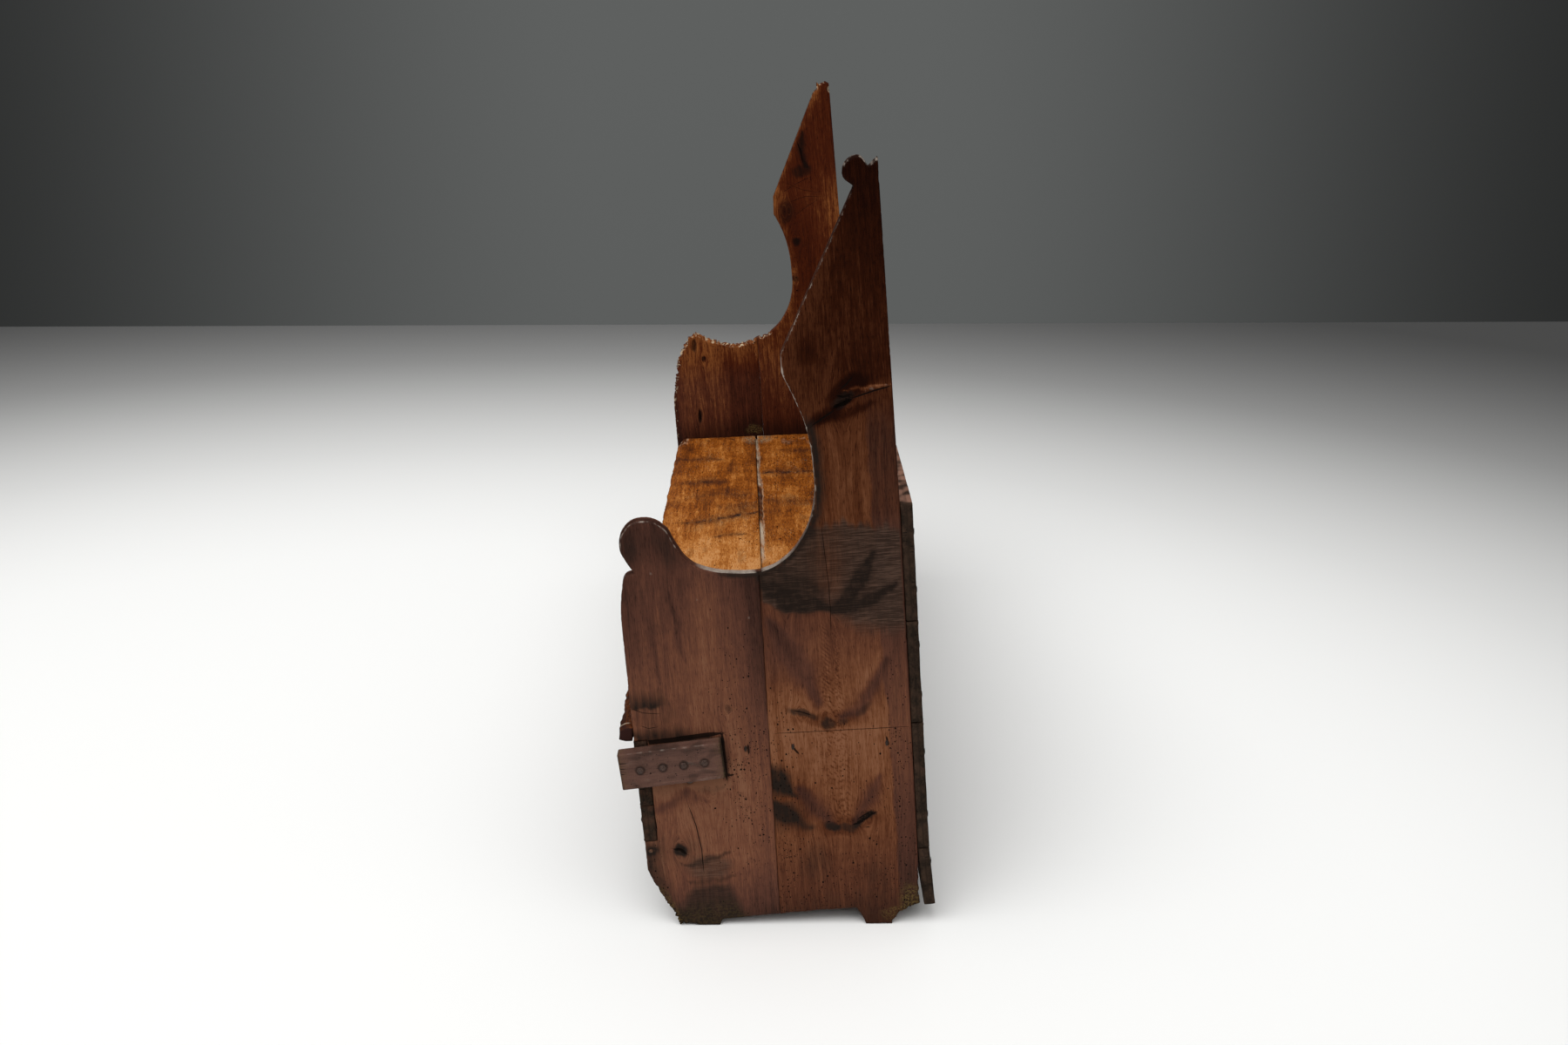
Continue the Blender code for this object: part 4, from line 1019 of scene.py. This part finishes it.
TONE_SWELLS = ((0.2, (0.3, 0.06, 1.0), 2.0), (0.18, (0.06, 0.09, 1.0), 6.0))
NOSE_RAGS = ((0.0055, (0.05, 0.05, 0.05), 2.2), (0.00275, (0.016, 0.03, 0.03), 5.1))
NOSE_ROUND = 0.016
NOSE_DROP = 0.01
SEAT_DISH = 0.0025
LIP_RAG = 0.0022
JOINT_DEPTH = 0.239
JOINT_SKEW = 0.0125
SLOT_HALF = 0.0013


def split_line(x):
    """Depth of the joint between the two seat boards."""
    return JOINT_DEPTH + JOINT_SKEW * x


def slot_width(x):
    """How far the back board's lip has broken away along the joint."""
    return course(x, [
        (-0.97, 0.004), (-0.9, 0.007), (-0.82, 0.007), (-0.56, 0.006), (-0.52, 0.01), (-0.46, 0.011),
        (-0.3, 0.01), (-0.22, 0.01), (-0.19, 0.008), (-0.05, 0.01), (0.09, 0.008), (0.14, 0.0),
    ])


def wear_seat_board(name, node):
    """One seat board, its edges worn round and its face dished, with its top painted."""
    board = fine_board(name, node, SEAT_CELL, SEAT_SETTING)
    places = places_of(board)
    x, s, h = places.T.copy()
    front = node == "seat_front_board"
    on_top = rise(h, -0.006, -0.002)

    # A dished and rippled top, a ragged round nose, and a lip broken away along the joint
    dish = SEAT_DISH * bell(x - 0.2, 0.55) * bell(s - 0.1, 0.1)
    places[:, 2] += on_top * (swells(places, SEAT_SWELLS) - dish)
    if front:
        nose = fall(s, -0.03, 0.03)
        over_top = np.maximum(0, NOSE_ROUND - (s + 0.026 - 0.03 * (0.96 - x) / 1.92))
        rounded = NOSE_DROP * rise(over_top, 0, NOSE_ROUND)
        places[:, 2] -= 0.55 * rounded * rise(h, -0.02, 0)
        places[:, 2] += 0.35 * rounded * fall(h, -0.03, -0.01)
        places[:, 1] += nose * swells(places, NOSE_RAGS)
    else:
        gone = slot_width(x)
        gone = gone + LIP_RAG * ripple(places, (0.02, 0.5, 0.5), 3.7) * (gone > 0.001)
        lip = rise(h, -0.0155, -0.0135) * fall(s - split_line(x), 0.0, 0.035)
        places[:, 1] += np.maximum(0, gone) * lip
        floor_of_slot = between(h, -0.02, -0.0145, -0.0155, -0.0135)
        places[:, 2] += floor_of_slot * (0.0095 + 0.002 * ripple(places, (0.03, 0.01, 0.01), 6.6))

    # Scuffs at the knots, debris and rubbed wood at the far end
    across = grain_round(s, x, SEAT_KNOTS)
    drift_s = s + swells(places, SEAT_DRIFT_S)
    drift_x = x + swells(places, SEAT_DRIFT_X)
    level = 0.48 + 0.14 * rise(x, -0.6, 0.2) + swells(places, TONE_SWELLS)
    level += 0.3 * blot(s, x, (0.13, 0.14), (0.13, 0.28)) - 0.08 * rise(s, 0.4, 0.5)
    grime_and_shade = 0.38 * patch(drift_s, drift_x, (0.195, -0.3), (0.06, 0.045))
    broken_up = rise(ripple(places, (0.04, 0.016, 1.0), 14.0), -0.25, 0.2)
    for line, width, strength in SEAT_SCUFFS:
        soft = streak(drift_s, drift_x, line, width)
        core = streak(s + 0.7 * (drift_s - s), x + 0.7 * (drift_x - x), line, 0.4 * width)
        grime_and_shade += strength * (0.6 * soft + 0.55 * core * broken_up)
    grime_and_shade += 0.18 * rise(ripple(places, (0.1, 0.03, 1.0), 21.0), 0.15, 0.45)
    debris = rise(ripple(places, 0.01, 8.2), -0.3, 0.1)
    rot = 0.95 * debris * patch(drift_s, drift_x, (0.236, -0.935), (0.05, 0.06))
    rubbed = rise(ripple(places, (0.05, 0.02, 1), 4.0), -0.3, 0.3)
    wear_and_highlight = 0.3 * rubbed * patch(drift_s, drift_x, (0.36, -0.89), (0.1, 0.055))
    if front:
        # The near end of the nose is black with handling, and its end grain is blacker still
        nose_dirt = fall(s, -0.012, 0.008) * rise(x, 0.45, 0.8)
        dirt_spots = rise(ripple(places, (0.03, 0.02, 0.02), 9.1), 0.0, 0.4)
        grime_and_shade += nose_dirt * (0.42 + 0.45 * dirt_spots)
        level -= 0.32 * nose_dirt
        broken = fall(s, 0.025, 0.045) * fall(x, -0.93, -0.86)
        pale_bits = rise(ripple(places, (0.02, 0.007, 0.02), 6.0), -0.05, 0.15)
        grime_and_shade += 0.8 * broken * (1 - pale_bits)
        wear_and_highlight += 0.55 * broken * pale_bits + 0.25 * fall(s, 0.0, 0.02) * fall(x, -0.8, -0.6)
        wear_and_highlight += 0.8 * bell(x - 0.9735, 0.0028) * fall(s, -0.01, 0.0) * on_top
        slot_line = []
    else:
        raw = fall(h, -0.012, -0.006) * fall(s - split_line(x), 0.014, 0.02)
        lip = fall(s - split_line(x), 0.003, 0.006) * on_top * (x < 0.13)
        dark_stretch = between(x, -0.52, -0.48, -0.22, -0.18)
        streaks = 0.62 + 0.45 * ripple(places, (0.05, 0.003, 1.0), 13.0)
        wear_and_highlight = np.maximum(wear_and_highlight, np.maximum(raw * (1 - 0.65 * dark_stretch) * streaks, 0.45 * lip))
        grime_and_shade = grime_and_shade * (1 - raw)
        slot_line = [([(split_line(end), end) for end in (-1.0, -0.5, 0.0, 0.5, 1.0)], SLOT_HALF)]
    # The sides and underside of each board are darkened where they aren't pale: painted shade
    under = fall(h, -0.012, -0.004)
    ends = rise(np.abs(x), 0.962, 0.972)
    grime_and_shade = np.where(wear_and_highlight > 0.3, grime_and_shade, np.maximum(grime_and_shade, 0.75 * under))
    grime_and_shade = np.maximum(np.clip(grime_and_shade, 0, 1), 1.5 * ends * (1 - on_top))
    worm = 0.15 + 0.5 * ripple(places, (0.15, 0.06, 1.0), 9.9) + 0.24 * rise(s, 0.28, 0.38)
    paint(board, "grain", across, x, h)
    paint(board, "tone", level, grime_and_shade, np.clip(wear_and_highlight, 0, 1))
    paint(board, "marks", 0, np.clip(worm, 0, 1) * on_top, np.clip(rot, 0, 1))
    paint(board, "crack", *cracks(places[:, 1], x, slot_line))
    set_back(board, places, SEAT_SETTING)
    return board


for name, node in (("seat_front", "seat_front_board"), ("seat_back", "seat_back_board")):
    board = wear_seat_board(name, node)
    board.data.materials.append(seat_wood)
    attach(board, "root")
    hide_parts(node)

# Front rail, back boards and bearers
# Plain sawn pine boards. The rail's two boards sit in notches in the front planks, the four back boards
# are nailed on from behind, and a bearer inside each end carries the seat.
RAIL_TONES = [
    (0.0, (0.014, 0.007, 0.0045)),
    (0.4, (0.048, 0.021, 0.0125)),
    (0.75, (0.1, 0.044, 0.024)),
    (1.0, (0.16, 0.078, 0.045)),
]
BACK_TONES = [
    (0.0, (0.012, 0.0075, 0.005)),
    (0.4, (0.036, 0.02, 0.013)),
    (0.75, (0.082, 0.042, 0.026)),
    (1.0, (0.15, 0.085, 0.056)),
]
BOARD_GRIME = (0.01, 0.0065, 0.0045)
BOARD_WORN = (0.3, 0.23, 0.17)
BOARD_ROT = (0.064, 0.04, 0.024)
rail_wood = aged_wood("dull_rail_pine", RAIL_TONES, BOARD_GRIME, BOARD_WORN, BOARD_ROT, 0.6, 0.1)
BACK_WORN = (0.29, 0.148, 0.1)
back_wood = aged_wood("sooty_back_pine", BACK_TONES, BOARD_GRIME, BACK_WORN, BOARD_ROT, 0.68, 0.1)
bearer_wood = aged_wood("bare_bearer_pine", RAIL_TONES, BOARD_GRIME, BOARD_WORN, BOARD_ROT, 0.7, 0.1)
BOARD_SWELL = 0.0007
KNOT_SIZE = 0.012
KNOT_RUN = 1.7
END_SPLITS = 3
SPLIT_HALF = 0.0006


def wear_plain_board(name, node, cell, setting, along, seed, edge, level, knot_count=4):
    """A sawn board of plain section, with its edges knocked round; along is the axis of its grain."""
    board = fine_board(name, node, cell, setting)
    places = places_of(board)
    low = places.min(axis=0)
    high = places.max(axis=0)
    middle = (low + high) / 2
    half = (high - low) / 2
    depths = [half[axis] - np.abs(places[:, axis] - middle[axis]) for axis in range(3)]
    pitch = np.full(3, 0.025)
    pitch[along] = 0.09
    knocked = edge * np.maximum(0.35, 1 + 0.9 * ripple(places, pitch, seed))
    eased = ease_edges(depths, knocked)
    end_depth = depths[along]
    across_axis = int(np.argmax(np.where(np.arange(3) == along, 0, half)))
    thin_axis = 3 - along - across_axis
    sign = np.sign(places - middle)
    for axis in range(3):
        places[:, axis] = middle[axis] + sign[:, axis] * (half[axis] - eased[axis])
    swell_pitch = np.full(3, 0.05)
    swell_pitch[along] = 0.4
    on_face = rise(eased[across_axis], 0.002, 0.006)
    swell = BOARD_SWELL * (1 + ripple(places, swell_pitch, seed + 2))
    places[:, thin_axis] -= sign[:, thin_axis] * on_face * swell
    run = places[:, along]
    width = places[:, across_axis] - middle[across_axis]
    face = seed * 3.1 + (sign[:, thin_axis] > 0) * 1.7
    knots = []
    for n in range(knot_count):
        knot_across = half[across_axis] * math.sin(seed * 5 + n * 2.4)
        knot_along = half[along] * math.sin(seed * 3 + n * 1.9) * 0.9
        knots.append((knot_across, knot_along, KNOT_SIZE, KNOT_RUN))
    across = grain_round(width, run, knots) + face
    tone = level + 0.12 * ripple(places, swell_pitch * 1.4, seed + 5)
    on_end = fall(end_depth, 0.001, 0.006)
    grime_and_shade = on_end * np.clip(0.8 + 0.6 * ripple(places, 0.014, seed + 4), 0, 1)
    for *knot_place, size, _ in knots:
        grime_and_shade += 0.8 * blot(width, run, knot_place, (size * 0.8, size * 1.2))
    rim = bell(np.minimum(eased[across_axis], eased[thin_axis]), 0.003) * rise(end_depth, 0.004, 0.01)
    wear_and_highlight = 0.25 * rim * np.clip(ripple(places, pitch, seed + 8) + 0.3, 0, 1)
    if node == "back_board_1":
        top_edge = fall(high[2] - places[:, 2], 0.001, 0.005) * rise(end_depth, 0.004, 0.02)
        rubbed = np.clip(0.7 + 1.1 * ripple(places, (0.022, 0.02, 0.1), 1.4), 0, 1)
        wear_and_highlight = np.maximum(wear_and_highlight, top_edge * rubbed)
    splits = []
    for n in range(END_SPLITS):
        start = (half[across_axis] * (0.5 - 0.3 * n), -half[along])
        end = (half[across_axis] * (0.48 - 0.3 * n), -half[along] * (0.84 + 0.04 * n))
        splits.append(([start, end], SPLIT_HALF))
    paint(board, "grain", across, run, places[:, thin_axis])
    paint(board, "tone", tone, np.clip(grime_and_shade, 0, 1), wear_and_highlight)
    paint(board, "marks", 0.5, 0.12 * on_face, 0.3 * fall(end_depth, 0.002, 0.02))
    paint(board, "crack", *cracks(width, run, splits))
    set_back(board, places, setting)
    return board


BACK_TOP = 0.833
BACK_HEIGHTS = (0.223, 0.2, 0.26, 0.122)
BACK_SHRINKAGE = 0.002
LOOSE_BOARD_FLARE = math.radians(3.0)
loose_top = BACK_TOP - sum(BACK_HEIGHTS[:3]) - 3 * BACK_SHRINKAGE
LOOSE_SETTING = (LEANING @ Matrix.Translation((0, BACK, loose_top))
                 @ Matrix.Rotation(LOOSE_BOARD_FLARE, 4, "X"))
X_AXIS = 0
Y_AXIS = 1
# Cell, setting, axis of the grain, round of the edges, finish and slot; then name, node, seed and tone
RAIL = (0.0042, LEANING, X_AXIS, 0.0028, rail_wood, "rail_wood")
BACK_BOARD = (0.005, LEANING, X_AXIS, 0.003, back_wood, "back_wood")
LOOSE_BOARD = (0.0045, LOOSE_SETTING, X_AXIS, 0.0032, back_wood, "back_wood")
BEARER = (0.0045, SEAT_SETTING, Y_AXIS, 0.0025, bearer_wood, "bearer_wood")
plain_boards = [
    ("rail_upper", "front_rail_upper", 1.0, 0.62, *RAIL),
    ("rail_lower", "front_rail_lower", 2.0, 0.58, *RAIL),
    ("back_top", "back_board_1", 3.0, 0.62, *BACK_BOARD),
    ("back_second", "back_board_2", 4.0, 0.55, *BACK_BOARD),
    ("back_third", "back_board_3", 5.0, 0.58, *BACK_BOARD),
    ("back_loose", "back_board_4", 6.0, 0.5, *LOOSE_BOARD),
    ("right_bearer", "right_seat_bearer", 7.0, 0.7, *BEARER),
    ("left_bearer", "left_seat_bearer", 8.0, 0.7, *BEARER),
]
for name, node, seed, level, cell, setting, along, edge, wood, slot in plain_boards:
    board = wear_plain_board(name, node, cell, setting, along, seed, edge, level)
    board.data.materials.append(wood)
    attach(board, "root")
    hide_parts(node)

# Repair cleat
# A short offcut nailed across the right end to hold its front plank to the rail, dull and purple-brown.
CLEAT_DEPTH = 0.069
CLEAT_DROP = 0.072
CLEAT_TILT = math.radians(4.9)
CLEAT_SETTING = (SEAT_SETTING @ Matrix.Translation((BENCH_LENGTH / 2, CLEAT_DEPTH, -CLEAT_DROP))
                 @ Matrix.Rotation(CLEAT_TILT, 4, "X"))
CLEAT_TONES = [
    (0.0, (0.02, 0.011, 0.0085)),
    (0.4, (0.062, 0.031, 0.0225)),
    (0.75, (0.112, 0.054, 0.039)),
    (1.0, (0.17, 0.095, 0.068)),
]
cleat_wood = aged_wood("dull_cleat_wood", CLEAT_TONES, END_GRIME_AND_SHADE, END_WORN_AND_HIGHLIGHT, END_ROT, 0.62, 0.12)
cleat = wear_plain_board("cleat", "end_cleat", 0.002, CLEAT_SETTING, Y_AXIS, 9.0, 0.002, 0.68, knot_count=0)
cleat_places = places_of(cleat)
dirt_ring = np.zeros(len(cleat_places))
for node in ("cleat_nail_1", "cleat_nail_2", "cleat_nail_3", "cleat_nail_4"):
    low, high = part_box(node)
    nail_place = (np.array(low) + np.array(high)) / 2
    from_nail = np.hypot(*(cleat_places - nail_place)[:, 1:].T)
    dirt_ring = np.maximum(dirt_ring, fall(from_nail, 0.0085, 0.0115))
upright = (cleat_places - np.array(CLEAT_SETTING.translation)) @ np.array(CLEAT_SETTING.to_3x3())
cleat_top = upright.max(axis=0)
from_corner = np.hypot(cleat_top[2] - upright[:, 2], cleat_top[0] - upright[:, 0])
# A pale line along the top arris, laid into the wear layer: wear, and a painted highlight
top_arris = bell(from_corner, 0.0018)
top_arris = top_arris * rise(ripple(cleat_places, (0.05, 0.01, 0.05), 2.2), -0.2, 0.3)
tones = np.empty(len(cleat_places) * 3, np.float32)
cleat.data.attributes["tone"].data.foreach_get("vector", tones)
tones = tones.reshape(-1, 3)
# The right end is darkened to black: painted shade beside the cleat
right_end = fall(cleat_top[1] - upright[:, 1], 0.0008, 0.003)
stains = rise(ripple(cleat_places, (0.05, 0.03, 0.016), 6.3), 0.1, 0.45)
tones[:, 0] += 0.16 * ripple(cleat_places, (0.05, 0.04, 0.012), 4.8)
tones[:, 1] = np.maximum(tones[:, 1] * 0.6 + 0.45 * stains, np.maximum(0.75 * dirt_ring, right_end))
tones[:, 2] = np.maximum(tones[:, 2], 0.95 * top_arris)
cleat.data.attributes["tone"].data.foreach_set("vector", tones.ravel())
cleat.data.materials.append(cleat_wood)
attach(cleat, "root")
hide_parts("end_cleat")

# Pegs and dowels
# Whittled pegs drawn through the ends into the bearers, and dowels hidden in the planks' edges.
peg_wood, peg_tree, peg_shader = new_finish("whittled_peg_wood")
peg_place = add(peg_tree, "TexCoord", {})["Object"]
peg_stretch = add(peg_tree, "Mapping", {"Vector": peg_place, "Scale": (60.0, 900.0, 900.0)})[0]
peg_grain = speckle(peg_tree, peg_stretch, 1.0, 3.0, 0.5)
peg_colour = layer_over(peg_tree, peg_grain, (0.03, 0.016, 0.011), (0.11, 0.058, 0.036))
peg_bump = add(peg_tree, "Bump", {"Height": peg_grain, "Strength": 0.5, "Distance": 0.0006})[0]
feed(peg_tree, peg_shader, {"Base Color": peg_colour, "Roughness": 0.65, "Normal": peg_bump})
for node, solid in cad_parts.items():
    if "peg" in node or "dowel" in node:
        solid.data.materials.clear()
        solid.data.materials.append(peg_wood)

# Nails
# Hand-forged iron nails with low hammered heads, rusted brown-black.


def forged_iron(name, dark, rusty):
    """Forged iron with rust in blooms, its colours given for the bare and the rusty places."""
    iron, tree, shader = new_finish(name)
    place = add(tree, "TexCoord", {})["Object"]
    rust = speckle(tree, place, 420.0, 4.0, 0.65)
    colour = layer_over(tree, fade(tree, rust, 0.4, 0.66), dark, rusty)
    rough = fade(tree, rust, 0.35, 0.7, 0.45, 0.75)
    bump = add(tree, "Bump", {"Height": rust, "Strength": 0.6, "Distance": 0.0008})[0]
    feed(tree, shader, {"Base Color": colour, "Roughness": rough, "Specular IOR Level": 0.18, "Normal": bump})
    return iron


black_iron = forged_iron("black_forged_iron", (0.016, 0.011, 0.009), (0.04, 0.022, 0.015))
brown_iron = forged_iron("brown_forged_iron", (0.038, 0.023, 0.018), (0.084, 0.047, 0.035))
bright_rust = forged_iron("bright_rusted_iron", (0.05, 0.025, 0.015), (0.16, 0.07, 0.036))
HEAD_ROUND = 0.0007
NARROW_HEAD = 0.45
HEAD_RISE = 0.003
FLAT_HEAD = 0.35
SMALL_HEAD = 0.6
HAMMERED = 0.0004
HAMMER_MARKS = 260
HAMMER_SEED = 4


def forged_nail(node, iron):
    """A CAD nail with its faceted head hammered softer and a little uneven."""
    shape = cad_shape(node)
    bmesh.ops.bevel(shape, geom=shape.edges[:], offset=HEAD_ROUND, offset_type="OFFSET", affect="EDGES",
                    segments=2, profile=0.5, material=-1, clamp_overlap=True)
    low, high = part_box(node)
    middle = (Vector(low) + Vector(high)) / 2
    for vert in shape.verts:
        if "foot" in node:
            vert.co.yz = middle.yz + SMALL_HEAD * (vert.co.yz - middle.yz)
        if "right_bearer" in node:
            vert.co.y += (1 - NARROW_HEAD) * (middle.y - vert.co.y) * (abs(vert.co.x) > PLANK_MIDDLE)
        if "back_nail" in node:
            vert.co.y -= (1 - FLAT_HEAD) * max(0, vert.co.y - high[1] + HEAD_RISE)
        vert.co += HAMMERED * noise.noise_vector(vert.co * HAMMER_MARKS)
    nail = piece_from(shape, node + "_forged")
    nail.data.shade_smooth()
    nail.data.materials.append(iron)
    return nail


# Without a seed the noise vectors start from the clock, and each run would hammer other heads
noise.seed_set(HAMMER_SEED)
for node in [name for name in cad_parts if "nail" in name]:
    nail = forged_nail(node, brown_iron if "cleat" in node else bright_rust if "foot" in node else black_iron)
    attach(nail, "root")
    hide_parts(node)

# Stage
# A pale studio floor whose colour greys away from the bench, a painted pool of light; a grey surround that
# darkens towards its sides and below, a painted falloff; soft light from above.
FLOOR_HALF = 4.54
FLOOR_LEVELS = [(0.0, 0.92), (0.32, 0.92), (0.5, 0.68), (0.72, 0.19), (1.0, 0.04)]
FLOOR_BLUE = 0.985
LIT_SPOT = (0.8, -0.8, 0.0)
LIT_REACH = 6.4
floor_shape = bmesh.new()
bmesh.ops.create_grid(floor_shape, x_segments=8, y_segments=8, size=FLOOR_HALF)
floor = piece_from(floor_shape, "studio_floor")
floor_paint, floor_tree, floor_shader = new_finish("pale_floor")
floor_place = add(floor_tree, "TexCoord", {})["Object"]
# The floor's colour is palest near the lit spot and greys away from it: a painted pool of light
from_light = add(floor_tree, "VectorMath", {0: floor_place, 1: LIT_SPOT}, operation="DISTANCE")["Value"]
floor_fade = sums(floor_tree, "DIVIDE", from_light, LIT_REACH)
floor_tones = [(place, (grey, grey, grey * FLOOR_BLUE)) for place, grey in FLOOR_LEVELS]
floor_colour = tone_ramp(floor_tree, floor_fade, floor_tones)
floor_colour.node.color_ramp.interpolation = "B_SPLINE"
feed(floor_tree, floor_shader, {"Base Color": floor_colour, "Roughness": 0.65, "Specular IOR Level": 0.2})
floor.data.materials.append(floor_paint)

HORIZON_LIGHT = 0.03
TOP_LIGHT = 0.6
FRONT_LIGHT = 2.6
WALL_TINT = (0.97, 1.01, 0.99)
surround = bpy.data.worlds.new("studio_surround")
surround.use_nodes = True
bpy.context.scene.world = surround
world_tree = surround.node_tree
seen = world_tree.nodes["Background"]
sky = add(world_tree, "TexCoord", {})["Generated"]
sky_parts = add(world_tree, "SeparateXYZ", {0: sky})
# The surround shown to the camera and in reflections greys towards its sides and below: a painted falloff of
# light
wall_turn = sums(world_tree, "ABSOLUTE", sky_parts[1])
wall_grey = fade(world_tree, wall_turn, 0.08, 0.46, 0.115, 0.024)
wall_back = fade(world_tree, wall_turn, 0.5, 0.8, 0.0, 0.045)
wall_grey = sums(world_tree, "ADD", wall_grey, wall_back)
wall_rise = fade(world_tree, sky_parts[2], -0.22, -0.02, 0.96, 1.01)
wall_grey = sums(world_tree, "MULTIPLY", wall_grey, wall_rise)
wall_colour = add(world_tree, "VectorMath", {0: WALL_TINT, 3: wall_grey}, operation="SCALE")["Vector"]
front_light = fade(world_tree, sky_parts[0], 0.0, 1.0, 0.0, FRONT_LIGHT)
front_light = sums(world_tree, "MULTIPLY", front_light, fade(world_tree, sky_parts[2], 0.3, 0.8))
top_light = fade(world_tree, sky_parts[2], 0.0, 0.9, HORIZON_LIGHT, TOP_LIGHT)
studio_light = sums(world_tree, "ADD", front_light, top_light)
path = add(world_tree, "LightPath", {})
shown_ray = sums(world_tree, "MAXIMUM", path["Is Camera Ray"], path["Is Glossy Ray"])
shown_ray = sums(world_tree, "MAXIMUM", shown_ray, path["Is Transmission Ray"])
surround_colour = add(world_tree, "Mix", {0: shown_ray, 6: studio_light, 7: wall_colour}, data_type="RGBA")
feed(world_tree, seen, {"Color": surround_colour[2], "Strength": 1.0})

LAMP_FROM = Vector((0.3, -0.35, 0.9))
LAMP_SPREAD = math.radians(50)
lamp = bpy.data.lights.new("soft_overhead", "SUN")
lamp.energy = 1.35
lamp.angle = LAMP_SPREAD
overhead = placed("soft_overhead", lamp)
overhead.rotation_euler = LAMP_FROM.to_track_quat("Z", "Y").to_euler()

CAMERA_PLACE = (3.91, -0.0376, 1.8)
CAMERA_PITCH = math.radians(18.52)
CAMERA_YAW = math.radians(0.896)
lens = bpy.data.cameras.new("photo_camera")
lens.lens = 40.0
lens.sensor_width = 36.0
camera = placed("photo_camera", lens)
camera.location = CAMERA_PLACE
ahead = math.cos(CAMERA_PITCH)
sight = Vector((-ahead * math.cos(CAMERA_YAW), ahead * math.sin(CAMERA_YAW), -math.sin(CAMERA_PITCH)))
camera.rotation_euler = sight.to_track_quat("-Z", "Y").to_euler()
bpy.context.scene.camera = camera
bpy.context.scene.view_settings.view_transform = "Standard"
